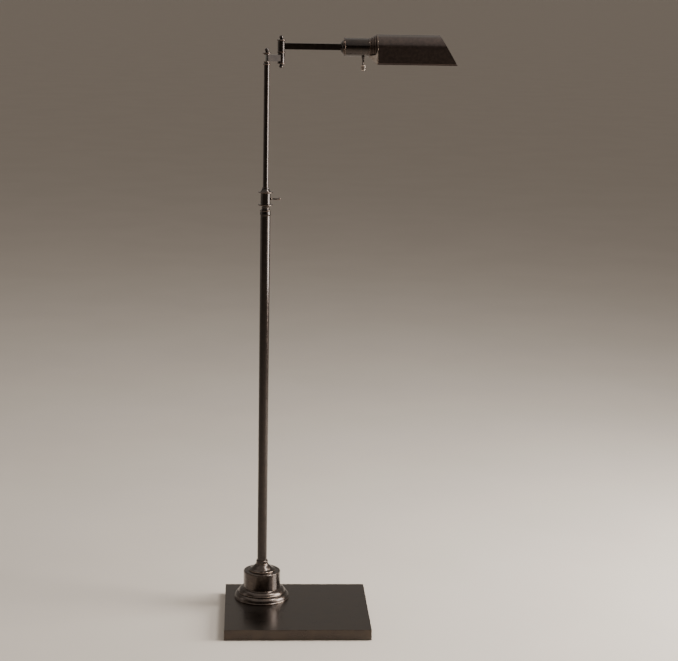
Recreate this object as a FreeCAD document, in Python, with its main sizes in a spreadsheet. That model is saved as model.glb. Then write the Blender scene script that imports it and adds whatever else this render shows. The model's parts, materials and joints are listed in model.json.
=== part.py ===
"""Pharmacy floor lamp: weighted base, telescopic mast, double swivel, arm and tilting shade.

Lengths are in millimetres. +Z is up, +X runs from the mast to the shade, and the origin is on the
floor, on the mast's axis. Every size comes from the sheet "Sizes"; each piece is an object of its own.
"""
import FreeCAD, Part
import os
import Sketcher

V = FreeCAD.Vector
DOC = FreeCAD.newDocument("PharmacyFloorLamp")

# Driving dimensions. Heights called *_level are above the floor, along the mast's axis.
SIZES = {
    # weighted base
    "plate_width": 326, "plate_depth": 298, "mast_from_left": 84.5, "mast_from_back": 82.5,
    "felt_thick": 1.5, "board_thick": 2, "cover_high": 23.5, "cover_wall": 3, "ballast_thick": 12,
    "ballast_gap": 2.5, "cover_edge": 0.8, "board_inset": 0.5, "felt_inset": 6,
    # foot on the plate
    "foot_radius": 63.5, "foot_step_radius": 53.5, "foot_high": 25.2, "drum_radius": 42.3,
    "drum_high": 39.3, "drum_wall": 2.5, "cap_radius": 30.8, "cap_high": 17.7, "cap_neck_radius": 14,
    "foot_collar_radius": 13.5, "foot_collar_high": 6.4,
    # threaded tube and its nut
    "lead_radius": 2, "lead_above_board": 3.2, "lead_bend": 7, "gland_long": 4.8,
    "stud_radius": 6, "stud_bore": 4, "nut_pocket_radius": 18, "nut_pocket_deep": 6.5,
    "washer_radius": 16, "washer_thick": 1.5, "nut_across": 19, "nut_thick": 4.5,
    # lower tube, ferrule and clamp
    "tube_radius": 11, "tube_bore": 9.8, "tube_top_level": 914, "ferrule_radius": 11.9,
    "ferrule_high": 13, "ferrule_spigot": 20, "neck_radius": 8.8, "clamp_radius": 10.9,
    "clamp_ring_radius": 16.4, "clamp_high": 41, "clamp_cone_high": 9.4, "screw_level": 951.6,
    "screw_radius": 2, "screw_reach": 33.5,
    # mast
    "mast_radius": 6, "mast_bore": 4.7, "mast_low_level": 780, "mast_top_level": 1245,
    "guide_high": 14, "slide_fit": 0.06, "clearance": 0.3,
    # pivots, finials and link
    "pivot_radius": 3.5, "pivot_bore": 2.2, "pivot_fit": 0.05, "ball_radius": 4.6,
    "link_length": 34.8, "link_high": 14, "link_thick": 12.6, "link_level": 1253,
    "barrel_radius": 7.7, "link_barrel_high": 20, "link_barrel_level": 1250.4,
    "arm_barrel_radius": 8, "arm_barrel_high": 21.6, "arm_barrel_level": 1274.8,
    "washer_gap": 0.4,
    # arm
    "arm_level": 1285.7, "arm_high": 13.6, "arm_thick": 10, "arm_wall": 1.3, "arm_end": 160.8,
    "cone_radius": 15.2, "cone_end": 168.2,
    # head, whose axis is the arm's middle line
    "housing_start": 168.5, "ring_radius": 21.3, "ring_thick": 2.6, "housing_radius": 20,
    "housing_wall": 1.2, "housing_end": 220, "band_long": 4.6, "band_radius": 20.2,
    "gallery_radius": 28.4, "gallery_long": 16.4, "shade_start": 241, "nipple_radius": 4.8,
    "nipple_bore": 3.2,
    # shade: a half round roof on two upright sides, cut at a slant in front
    "shade_radius": 28.6, "shade_skin": 1, "shade_drop": 36, "shade_top_long": 137.5,
    "shade_foot_long": 176, "hem_high": 2.6, "hem_proud": 0.8,
    # lamp holder, bulb and switch
    "holder_radius": 16, "shell_radius": 14.4, "bulb_cap_radius": 13.2, "bulb_radius": 15,
    "bulb_start": 226, "bulb_long": 112, "switch_at": 211.6, "knob_radius": 5.2, "knob_high": 14,
    "stem_long": 17,
}


class Dim:
    """A size that carries its value together with its spreadsheet expression."""

    def __init__(self, value, text):
        self.value = float(value)
        self.text = text

    @staticmethod
    def of(thing):
        return thing if isinstance(thing, Dim) else Dim(thing, repr(float(thing)))

    def joined(self, other, sign, value):
        return Dim(value, "(%s %s %s)" % (self.text, sign, Dim.of(other).text))

    def __add__(self, other):
        return self.joined(other, "+", self.value + Dim.of(other).value)

    def __sub__(self, other):
        return self.joined(other, "-", self.value - Dim.of(other).value)

    def __mul__(self, other):
        return self.joined(other, "*", self.value * Dim.of(other).value)

    def __truediv__(self, other):
        return self.joined(other, "/", self.value / Dim.of(other).value)

    def __radd__(self, other):
        return Dim.of(other) + self

    def __rsub__(self, other):
        return Dim.of(other) - self

    def __rmul__(self, other):
        return Dim.of(other) * self


class Sheet:
    """The spreadsheet of driving dimensions; each alias is read as an attribute."""

    def __init__(self, sizes):
        table = DOC.addObject("Spreadsheet::Sheet", "Sizes")
        for row, (alias, value) in enumerate(sizes.items(), start=1):
            table.set("A%d" % row, alias)
            table.set("B%d" % row, str(value))
            table.setAlias("B%d" % row, alias)
        DOC.recompute()
        self.dims = {alias: Dim(value, "Sizes.%s" % alias) for alias, value in sizes.items()}

    def __getattr__(self, alias):
        return self.dims[alias]


S = Sheet(SIZES)
PIECES = []          # the objects that become files, in order
ALONG_Z = FreeCAD.Rotation()
ALONG_X = FreeCAD.Rotation(V(0, 1, 0), 90)
DOWNWARD = FreeCAD.Rotation(V(1, 0, 0), 180)
DOME = "dome"


def bind(thing, prop, size):
    """Ties one property of an object to the sheet."""
    thing.setExpression(prop, Dim.of(size).text)


def place(thing, at, turn=ALONG_Z):
    """Turns an object and puts it at a point given by three sizes."""
    thing.Placement = FreeCAD.Placement(V(*[Dim.of(size).value for size in at]), turn)
    for letter, size in zip("xyz", at):
        bind(thing, "Placement.Base." + letter, size)


def finished(thing, label, at=(0, 0, 0), turn=ALONG_Z):
    """Names a piece, places it and lists it for export."""
    thing.Label = label
    place(thing, at, turn)
    PIECES.append(thing)
    return thing


# ---- sketches and bodies -------------------------------------------------------------------------

def new_body():
    return DOC.addObject("PartDesign::Body", "Body")


def sketch_on(body, role, lift=None):
    """Adds a sketch on one of the body's own origin planes, lifted off it when asked."""
    sketch = body.newObject("Sketcher::SketchObject", "Sketch")
    plane = [item for item in body.Origin.OriginFeatures if item.Role == role][0]
    sketch.AttachmentSupport = [(plane, "")]
    sketch.MapMode = "FlatFace"
    if lift is not None:
        bind(sketch, "AttachmentOffset.Base.z", lift)
    return sketch


def pin_point(sketch, geometry, vertex, point):
    """Holds a vertex at its two coordinates, each bound to the sheet."""
    for kind, axis, size in (("DistanceX", -2, point[0]), ("DistanceY", -1, point[1])):
        size = Dim.of(size)
        if size.value == 0:
            sketch.addConstraint(Sketcher.Constraint("PointOnObject", geometry, vertex, axis))
            continue
        if size.value > 0:
            rule = Sketcher.Constraint(kind, -1, 1, geometry, vertex, size.value)
            text = size.text
        else:
            rule = Sketcher.Constraint(kind, geometry, vertex, -1, 1, -size.value)
            text = "-1 * " + size.text
        index = sketch.addConstraint(rule)
        sketch.setExpression("Constraints[%d]" % index, text)


def flat(point):
    return V(Dim.of(point[0]).value, Dim.of(point[1]).value, 0)


def outline(sketch, points):
    """Draws a closed outline. A third number on a point bulges the run after it: the arc's height,
    positive to the right of the way it runs. A third size, from the sheet, makes it a half circle,
    and DOME makes it an arc about a centre on the upright axis."""
    count = len(points)
    ends = []
    for index in range(count):
        start, end = flat(points[index]), flat(points[(index + 1) % count])
        shape = points[index][2] if len(points[index]) > 2 else 0
        bulge = Dim.of(0 if shape == DOME else shape)
        if shape == DOME:
            rise = (end.y ** 2 - start.y ** 2 + end.x ** 2 - start.x ** 2) / (2 * (end.y - start.y))
            centre = V(0, rise, 0)
            middle = ((start + end) * 0.5 - centre).normalize() * (start - centre).Length + centre
            forward = (start - centre).cross(end - centre).z > 0
            first, last = (start, end) if forward else (end, start)
            geometry = sketch.addGeometry(Part.Arc(first, middle, last), False)
            sketch.addConstraint(Sketcher.Constraint("PointOnObject", geometry, 3, -2))
        elif bulge.value:
            run = end - start
            side = V(run.y, -run.x, 0).normalize()
            middle = (start + end) * 0.5 + side * bulge.value
            forward = bulge.value > 0
            first, last = (start, end) if forward else (end, start)
            geometry = sketch.addGeometry(Part.Arc(first, middle, last), False)
            if isinstance(shape, Dim):
                level = "Vertical" if abs(run.x) < abs(run.y) else "Horizontal"
                sketch.addConstraint(Sketcher.Constraint(level, geometry, 3, geometry, 1))
            else:
                radius = sketch.Geometry[geometry].Radius
                sketch.addConstraint(Sketcher.Constraint("Radius", geometry, radius))
        else:
            geometry = sketch.addGeometry(Part.LineSegment(start, end), False)
            forward = True
        ends.append((geometry, 1 if forward else 2, 2 if forward else 1))
    for index in range(count):
        here, following = ends[index], ends[(index + 1) % count]
        sketch.addConstraint(Sketcher.Constraint("Coincident", here[0], here[2], following[0],
                                                 following[1]))
        pin_point(sketch, here[0], here[1], points[index])


def circle(sketch, radius, centre=(0, 0)):
    """Draws a circle whose radius and centre are bound to the sheet."""
    geometry = sketch.addGeometry(Part.Circle(flat(centre), V(0, 0, 1), Dim.of(radius).value), False)
    index = sketch.addConstraint(Sketcher.Constraint("Radius", geometry, Dim.of(radius).value))
    sketch.setExpression("Constraints[%d]" % index, Dim.of(radius).text)
    pin_point(sketch, geometry, 3, centre)


def rectangle(sketch, low, high):
    """Draws an upright rectangle between two corners."""
    outline(sketch, [low, (high[0], low[1]), high, (low[0], high[1])])


def extrude(body, sketch, kind, length=None, both=False, reverse=False):
    """Pads or pockets a sketch; no length cuts through everything."""
    feature = body.newObject("PartDesign::" + kind, kind)
    feature.Profile = sketch
    if length is None:
        feature.Type = "ThroughAll"
    else:
        feature.Length = Dim.of(length).value
        bind(feature, "Length", length)
    feature.Midplane = both
    feature.Reversed = reverse
    return feature


def pocket(body, sketch, length=None, both=False, reverse=False):
    """Cuts a sketch out of the body and stops if it removed nothing."""
    DOC.recompute()
    before = body.Shape.Volume
    feature = extrude(body, sketch, "Pocket", length, both, reverse)
    DOC.recompute()
    if body.Shape.Volume > before - 0.01:
        raise RuntimeError("a pocket in %s cut nothing" % body.Name)
    return feature


def turned(label, points, at, turn=ALONG_Z):
    """A turned piece: an outline of (radius, height) points spun about its own upright axis."""
    body = new_body()
    sketch = sketch_on(body, "XZ_Plane")
    outline(sketch, points)
    spin = body.newObject("PartDesign::Revolution", "Turning")
    spin.Profile = sketch
    spin.ReferenceAxis = (sketch, ["V_Axis"])
    spin.Angle = 360
    return finished(body, label, at, turn)


def ring(label, outer, inner, high, at, turn=ALONG_Z):
    """A plain ring, tube, washer or bush."""
    return turned(label, [(inner, 0), (outer, 0), (outer, high), (inner, high)], at, turn)


def hexagon(sketch, across):
    """Draws a hexagon about the origin, two of its flats parallel to X."""
    half = across / 2
    corner = across * 0.57735
    outline(sketch, [(corner, 0), (corner / 2, half), (corner * -0.5, half), (corner * -1, 0),
                     (corner * -0.5, half * -1), (corner / 2, half * -1)])


def hex_nut(label, across, bore, thick, at, turn=ALONG_Z):
    """A plain hexagonal nut."""
    body = new_body()
    faces = sketch_on(body, "XY_Plane")
    hexagon(faces, across)
    extrude(body, faces, "Pad", thick)
    hole = sketch_on(body, "XY_Plane")
    circle(hole, bore)
    pocket(body, hole, None, reverse=True)
    return finished(body, label, at, turn)


def slab(body, low, high, thick, lift=0):
    """Pads a rectangle drawn on the body's XY plane."""
    sketch = sketch_on(body, "XY_Plane", lift)
    rectangle(sketch, low, high)
    return extrude(body, sketch, "Pad", thick)


def outer_edges(shape, level, tolerance=0.01):
    """Names of the straight edges that lie flat at one level."""
    names = []
    for number, edge in enumerate(shape.Edges, start=1):
        heights = [vertex.Point.z for vertex in edge.Vertexes]
        if all(abs(height - level) < tolerance for height in heights):
            if edge.Curve.TypeId == "Part::GeomLine":
                names.append("Edge%d" % number)
    return names


# ---- weighted base -------------------------------------------------------------------------------

LEFT, BACK = S.mast_from_left * -1, S.mast_from_back
RIGHT, FRONT = S.plate_width - S.mast_from_left, S.mast_from_back - S.plate_depth
PLATE_TOP = S.felt_thick + S.cover_high
BALLAST_LOW = PLATE_TOP - S.cover_wall - S.ballast_thick
LEAD_LEVEL = S.felt_thick + S.board_thick + S.lead_above_board
TUBE_LOW = PLATE_TOP + S.foot_high + S.drum_high + S.cap_high


def inset(margin):
    """Two opposite corners of the plate's rectangle, drawn in by a margin."""
    return (LEFT + margin, FRONT + margin), (RIGHT - margin, BACK - margin)


def felt_pad():
    body = new_body()
    slab(body, *inset(S.felt_inset), S.felt_thick)
    return finished(body, "felt_pad")


def bottom_board():
    body = new_body()
    slab(body, *inset(S.cover_wall + S.board_inset), S.board_thick)
    return finished(body, "bottom_board", (0, 0, S.felt_thick))


def base_cover():
    """A folded steel box, open below, with the stud's hole on top and the gland's hole behind."""
    body = new_body()
    box = slab(body, *inset(0), S.cover_high)
    DOC.recompute()
    edges = body.newObject("PartDesign::Chamfer", "Edges")
    edges.Base = (box, outer_edges(box.Shape, S.cover_high.value))
    edges.Size = S.cover_edge.value
    bind(edges, "Size", S.cover_edge)
    inside = sketch_on(body, "XY_Plane")
    rectangle(inside, *inset(S.cover_wall))
    pocket(body, inside, S.cover_high - S.cover_wall, reverse=True)
    stud_hole = sketch_on(body, "XY_Plane")
    circle(stud_hole, S.stud_radius + S.clearance)
    pocket(body, stud_hole, None, reverse=True)
    gland_hole = sketch_on(body, "XZ_Plane")
    circle(gland_hole, 4.2, (0, LEAD_LEVEL - S.felt_thick))
    pocket(body, gland_hole, S.plate_depth)
    return finished(body, "base_cover", (0, 0, S.felt_thick))


def ballast_plate():
    """The cast iron weight, with a hole for the stud and a pocket for its nut."""
    body = new_body()
    slab(body, *inset(S.cover_wall + S.ballast_gap), S.ballast_thick)
    stud_hole = sketch_on(body, "XY_Plane")
    circle(stud_hole, S.stud_radius + S.clearance)
    pocket(body, stud_hole, None, reverse=True)
    nut_pocket = sketch_on(body, "XY_Plane")
    circle(nut_pocket, S.nut_pocket_radius)
    pocket(body, nut_pocket, S.nut_pocket_deep, reverse=True)
    return finished(body, "ballast_plate", (0, 0, BALLAST_LOW))


def foot_parts():
    """The spun foot that stands on the plate: flange, drum, bell cap and collar."""
    bore = S.stud_radius + S.clearance
    step = 14.4
    turned("foot_flange", [
        (bore, 0), (S.foot_radius - 3.2, 0, 0.9), (S.foot_radius, 4.6, 1.5),
        (S.foot_step_radius + 1.6, step, -0.25), (S.foot_step_radius, step + 1),
        (S.foot_step_radius, step + 2.6, 1.6), (S.drum_radius + 1.2, S.foot_high),
        (S.drum_radius - 1, S.foot_high), (S.drum_radius - 1, S.foot_high - 3), (bore, S.foot_high - 3),
    ], (0, 0, PLATE_TOP))
    inner = S.drum_radius - S.drum_wall
    turned("foot_drum", [
        (inner, 0), (S.drum_radius, 0), (S.drum_radius, S.drum_high - 2.2, 0.25),
        (S.drum_radius - 2, S.drum_high), (bore, S.drum_high), (bore, S.drum_high - S.drum_wall),
        (inner, S.drum_high - S.drum_wall),
    ], (0, 0, PLATE_TOP + S.foot_high))
    neck = S.cap_neck_radius
    turned("foot_cap", [
        (bore, 0), (S.cap_radius - 0.8, 0, 0.35), (S.cap_radius, 1.4, 0.3), (S.cap_radius - 0.9, 2.6),
        (S.cap_radius - 2.4, 3.2, -0.9), (S.cap_radius - 9, 8.2, -0.8), (neck, S.cap_high - 1.4),
        (neck, S.cap_high), (bore, S.cap_high),
    ], (0, 0, PLATE_TOP + S.foot_high + S.drum_high))
    turned("foot_collar", [
        (S.tube_radius, 0), (S.foot_collar_radius - 0.4, 0, 0.1), (S.foot_collar_radius, 0.8),
        (S.foot_collar_radius, S.foot_collar_high - 1.6, 0.35),
        (S.foot_collar_radius - 1.3, S.foot_collar_high), (S.tube_radius, S.foot_collar_high),
    ], (0, 0, TUBE_LOW))


def base_stud_parts():
    """The hollow threaded stud that pulls the foot and the tube down onto the plate."""
    stud_top = TUBE_LOW + 13
    ring("base_stud", S.stud_radius, S.stud_bore, stud_top - BALLAST_LOW, (0, 0, BALLAST_LOW))
    washer_level = BALLAST_LOW + S.nut_pocket_deep - S.washer_thick
    ring("base_washer", S.washer_radius, S.stud_radius, S.washer_thick, (0, 0, washer_level))
    hex_nut("base_nut", S.nut_across, S.stud_radius, S.nut_thick,
            (0, 0, washer_level - S.nut_thick))
    ring("tube_bush", S.tube_bore, S.stud_radius, 14, (0, 0, TUBE_LOW))


def cord_gland():
    """A flanged insulating bush in the plate's back edge."""
    back_turn = FreeCAD.Rotation(V(1, 0, 0), 90)
    turned("cord_gland", [(3, 0), (6.2, 0, 0.5), (6.2, 1.6), (4.1, 1.6), (4.1, S.gland_long),
                          (3, S.gland_long)], (0, BACK + 1.6, LEAD_LEVEL), back_turn)


def supply_lead():
    """The lead from the gland along the board, up through the stud and the lower tube."""
    body = new_body()
    path = sketch_on(body, "YZ_Plane")
    bend = S.lead_bend.value
    back, level, top = BACK.value - 6, LEAD_LEVEL.value, S.screw_level.value - 3
    middle = bend * (1 - 0.5 ** 0.5)
    path.addGeometry(Part.LineSegment(V(back, level, 0), V(bend, level, 0)), False)
    path.addGeometry(Part.Arc(V(bend, level, 0), V(middle, level + middle, 0),
                              V(0, level + bend, 0)), False)
    path.addGeometry(Part.LineSegment(V(0, level + bend, 0), V(0, top, 0)), False)
    profile = sketch_on(body, "XZ_Plane", -back)
    circle(profile, S.lead_radius, (0, LEAD_LEVEL))
    DOC.recompute()
    pipe = body.newObject("PartDesign::AdditivePipe", "Lead")
    pipe.Profile = profile
    pipe.Spine = (path, ["Edge1", "Edge2", "Edge3"])
    pipe.Transition = "Round corner"
    return finished(body, "supply_lead")


# ---- lower tube and mast clamp -------------------------------------------------------------------

def tube_parts():
    """The lower tube with the turned ferrule that closes its top."""
    ring("lower_tube", S.tube_radius, S.tube_bore, S.tube_top_level - TUBE_LOW, (0, 0, TUBE_LOW))
    bore = S.mast_radius + S.clearance
    low = S.ferrule_spigot
    high = S.ferrule_spigot + S.ferrule_high
    turned("tube_ferrule", [
        (bore, 0), (S.tube_bore, 0), (S.tube_bore, low), (S.ferrule_radius - 0.7, low),
        (S.ferrule_radius - 0.4, low + 1, 0.5), (S.ferrule_radius - 0.6, high - 4),
        (S.ferrule_radius - 1, high - 3.2), (S.ferrule_radius - 0.2, high - 2.9, 0.4),
        (S.ferrule_radius - 0.2, high - 0.4), (S.ferrule_radius - 1.4, high), (bore, high),
    ], (0, 0, S.tube_top_level - S.ferrule_spigot))


def clamp_parts():
    """The clamp collar, its bush and cone cap, and the pad that the thumb screw presses on the mast."""
    level = S.tube_top_level + S.ferrule_high
    sleeve = S.mast_radius + 2
    ring_low, ring_high = 9.8, S.clamp_high - 3.2
    body = turned("clamp_collar", [
        (sleeve, 0), (S.neck_radius + 1.6, 0, -0.9), (S.neck_radius, 4.2, -0.9),
        (S.clamp_radius + 0.4, ring_low - 0.8), (S.clamp_ring_radius - 0.6, ring_low, 0.7),
        (S.clamp_ring_radius - 0.6, ring_low + 2.6), (S.clamp_radius, ring_low + 3.6),
        (S.clamp_radius, ring_high - 1.4), (S.clamp_ring_radius - 0.6, ring_high, 0.7),
        (S.clamp_ring_radius - 0.6, ring_high + 2.6), (S.clamp_radius + 1, S.clamp_high),
        (sleeve, S.clamp_high),
    ], (0, 0, level))
    hole = sketch_on(body, "YZ_Plane")
    circle(hole, S.screw_radius + 0.1, (0, S.screw_level - level))
    pocket(body, hole, 20, reverse=True)
    guide = S.mast_radius + S.slide_fit
    ring("clamp_bush", sleeve, guide, 16, (0, 0, level + 1))
    turned("clamp_cap", [
        (S.mast_radius + S.clearance, 0), (S.clamp_radius + 1, 0), (S.clamp_radius + 0.2, 1, -0.8),
        (S.mast_radius + 1.2, S.clamp_cone_high - 0.6), (S.mast_radius + 0.9, S.clamp_cone_high),
        (S.mast_radius + S.clearance, S.clamp_cone_high),
    ], (0, 0, level + S.clamp_high))
    turned("clamp_pad", [(0, 0), (S.screw_radius - 0.1, 0), (S.screw_radius - 0.1, 1.6), (0, 1.6)],
           (S.mast_radius + 0.12, 0, S.screw_level), ALONG_X)


def thumb_screw():
    """A turned screw whose outer end is flattened to a thin paddle with a ball tip."""
    body = new_body()
    sketch = sketch_on(body, "XZ_Plane")
    reach = S.screw_reach - 8
    outline(sketch, [
        (0, 0), (S.screw_radius, 0), (S.screw_radius, 3.4), (2.9, 3.6, 0.25), (2.9, 5.4),
        (1.5, 6.6, -0.2), (1.5, 8.4), (4.2, 11.5, 0.5), (4, reach - 6.4), (1.8, reach - 5.4, DOME),
        (0, reach),
    ])
    spin = body.newObject("PartDesign::Revolution", "Turning")
    spin.Profile = sketch
    spin.ReferenceAxis = (sketch, ["V_Axis"])
    spin.Angle = 360
    for side in (1, -1):
        flat_cut = sketch_on(body, "XZ_Plane", side * 1.5)
        rectangle(flat_cut, (-6, 9), (6, reach - 4.6))
        pocket(body, flat_cut, 5, reverse=side > 0)
    upright = FreeCAD.Rotation(V(0, 1, 0), 90).multiply(FreeCAD.Rotation(V(0, 0, 1), 90))
    return finished(body, "thumb_screw", (8, 0, S.screw_level), upright)


# ---- mast ----------------------------------------------------------------------------------------

PIVOT_OUT = S.pivot_radius + S.pivot_fit


def ball_points(base, rise, radius):
    """The points of a ball finial on a short neck, for a turned outline that ends on its axis."""
    neck = radius * 0.6
    return [(neck, base), (neck, base + rise, DOME), (0, base + rise + radius * 1.8)]


def mast_parts():
    """The sliding tube with its guide, head fitting, pivot tube and finial."""
    high = S.mast_top_level - S.mast_low_level
    ring("upper_tube", S.mast_radius, S.mast_bore, high, (0, 0, S.mast_low_level))
    ring("mast_guide", S.tube_bore - 0.08, S.mast_radius, S.guide_high, (0, 0, S.mast_low_level))
    disc = S.link_level - S.mast_top_level - S.washer_gap
    turned("mast_head", [
        (S.pivot_radius, 0), (S.mast_bore, 0), (S.mast_bore, 15), (S.mast_radius + 0.4, 15),
        (S.mast_radius + 2, 15.4, 0.45), (S.mast_radius + 2, 17.6), (S.mast_radius + 0.6, 18.6, -0.3),
        (S.mast_radius + 0.9, disc + 14.2), (S.mast_radius + 0.6, disc + 15), (S.pivot_radius, disc + 15),
    ], (0, 0, S.mast_top_level - 15))
    link_top = S.link_level + S.link_high
    ring("mast_pivot", S.pivot_radius, S.pivot_bore, S.link_high + 24, (0, 0, S.link_level - 19))
    ring("pivot_washer", S.mast_radius + 0.4, S.pivot_radius, S.washer_gap - 0.1,
         (0, 0, S.link_level - S.washer_gap))
    turned("mast_top_ring", [
        (S.pivot_radius, 0), (S.mast_radius + 0.8, 0), (S.mast_radius + 0.8, 1.4),
        (S.mast_radius + 2.8, 1.9, 0.45), (S.mast_radius + 2.8, 4.2), (S.mast_radius + 1.2, 4.8),
        (S.pivot_radius, 4.8),
    ], (0, 0, link_top + S.washer_gap))
    turned("mast_finial", [(0, 0), (S.mast_radius - 2, 0)]
           + ball_points(0.8, 0.6, S.ball_radius), (0, 0, link_top + S.washer_gap + 4.8))


# ---- link and the double swivel ------------------------------------------------------------------

LINK_TURN = 25       # degrees: at rest the link runs back from the mast, and the arm straight across
OUTER_X, OUTER_Y = S.link_length * 0.906308, S.link_length * 0.422618     # its cosine and sine


def link_bar():
    """The flat bar between the two pivots: half round at the mast, hollowed to sit on its barrel."""
    body = new_body()
    half = S.link_thick / 2
    sketch = sketch_on(body, "XY_Plane")
    outline(sketch, [(0, half, half), (0, half * -1), (S.link_length, half * -1),
                     (S.link_length, half)])
    extrude(body, sketch, "Pad", S.link_high)
    bore = sketch_on(body, "XY_Plane")
    circle(bore, PIVOT_OUT)
    pocket(body, bore, None, reverse=True)
    seat = sketch_on(body, "XY_Plane")
    circle(seat, S.barrel_radius, (S.link_length, 0))
    pocket(body, seat, None, reverse=True)
    return finished(body, "link_bar", (0, 0, S.link_level), FreeCAD.Rotation(V(0, 0, 1), LINK_TURN))


def link_parts():
    """The lower barrel, its rings, the pivot tube and the finials of the outer swivel."""
    axis = (OUTER_X, OUTER_Y)
    low = S.link_barrel_level
    top = low + S.link_barrel_high
    ring("link_barrel", S.barrel_radius, S.pivot_radius, S.link_barrel_high, (*axis, low))
    turned("link_base_ring", [
        (S.pivot_radius, 0), (S.barrel_radius - 1, 0), (S.barrel_radius + 0.7, 0.7, 0.45),
        (S.barrel_radius + 0.7, 2.9), (S.barrel_radius - 0.4, 3.5), (S.pivot_radius, 3.5),
    ], (*axis, low - 3.5))
    turned("link_base_finial", [(0, 0), (S.pivot_radius + 0.5, 0)]
           + ball_points(0.6, 0.6, S.ball_radius), (*axis, low - 3.5), DOWNWARD)
    turned("link_mid_ring", [
        (S.pivot_radius, 0), (S.barrel_radius - 1, 0), (S.barrel_radius - 1, 0.6),
        (S.barrel_radius + 1, 0.9, 0.5), (S.barrel_radius + 1, 3.5), (S.barrel_radius - 1, 3.8),
        (S.barrel_radius - 1, 4.3), (S.pivot_radius, 4.3),
    ], (*axis, top))
    arm_top = S.arm_barrel_level + S.arm_barrel_high
    turned("link_top_ring", [
        (S.pivot_radius, 0), (S.barrel_radius - 0.6, 0), (S.barrel_radius + 1.7, 0.8, 0.45),
        (S.barrel_radius + 1.7, 3.2), (S.barrel_radius, 3.8), (S.pivot_radius, 3.8),
    ], (*axis, arm_top + 0.2))
    turned("link_top_finial", [(0, 0), (S.pivot_radius + 0.5, 0)]
           + ball_points(0.3, 0.4, S.ball_radius), (*axis, arm_top + 4))
    pivot_low = low - 3.5
    pivot = turned("link_pivot", [
        (S.pivot_bore, 0), (S.pivot_radius, 0), (S.pivot_radius, arm_top + 4 - pivot_low),
        (S.pivot_bore, arm_top + 4 - pivot_low)], (*axis, pivot_low))
    for facing, level in ((False, S.link_level + S.link_high / 2), (True, S.arm_level)):
        slot = sketch_on(pivot, "YZ_Plane")
        circle(slot, S.pivot_bore - 0.2, (0, level - pivot_low))
        pocket(pivot, slot, 6, reverse=facing)


# ---- arm -----------------------------------------------------------------------------------------

def arm_parts():
    """The upper barrel, the hollow flat arm and the cone that carries the head's swivel."""
    axis = (OUTER_X, OUTER_Y)
    barrel = ring("arm_barrel", S.arm_barrel_radius, PIVOT_OUT, S.arm_barrel_high,
                  (*axis, S.arm_barrel_level))
    lead_hole = sketch_on(barrel, "YZ_Plane")
    circle(lead_hole, 2.4, (0, S.arm_level - S.arm_barrel_level))
    pocket(barrel, lead_hole, 20, reverse=True)
    body = new_body()
    half_high, half_thick = S.arm_high / 2, S.arm_thick / 2
    start = OUTER_X
    outer = sketch_on(body, "YZ_Plane", start)
    rectangle(outer, (half_thick * -1, half_high * -1), (half_thick, half_high))
    extrude(body, outer, "Pad", S.arm_end - start)
    hollow = sketch_on(body, "YZ_Plane", start)
    rectangle(hollow, (S.arm_wall - half_thick, S.arm_wall - half_high),
              (half_thick - S.arm_wall, half_high - S.arm_wall))
    pocket(body, hollow, None, reverse=True)
    seat = sketch_on(body, "XY_Plane")
    circle(seat, S.arm_barrel_radius, (start, 0))
    pocket(body, seat, 40, both=True)
    finished(body, "arm_bar", (0, OUTER_Y, S.arm_level))
    cone_long = S.cone_end - S.arm_end
    turned("arm_cone", [
        (S.nipple_radius, 0), (7.4, 0, 0.15), (8.4, 0.8, 0.7), (S.cone_radius, cone_long - 1),
        (S.cone_radius, cone_long), (S.nipple_radius, cone_long),
    ], on_axis(S.arm_end), ALONG_X)
    nipple, hidden = S.nipple_radius, S.housing_start + 3.3
    ring("swivel_nipple", nipple, S.nipple_bore, 16, on_axis(S.arm_end), ALONG_X)
    ring("swivel_washer", 8, nipple, 0.8, on_axis(hidden), ALONG_X)
    hex_nut("swivel_nut", 14, nipple, 3.6, on_axis(hidden + 0.8), ALONG_X)
    lead_long = S.arm_end + 20 - start
    turned("arm_lead", [(0, 0), (1.6, 0), (1.6, lead_long), (0, lead_long)],
           on_axis(start + 6), ALONG_X)


# ---- head ----------------------------------------------------------------------------------------

SCREW_PLACES = [(0, 22), (19.05, -11), (-19.05, -11)]       # across and up from the head's axis


def on_axis(start):
    """A place on the head's axis."""
    return (start, OUTER_Y, S.arm_level)


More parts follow.
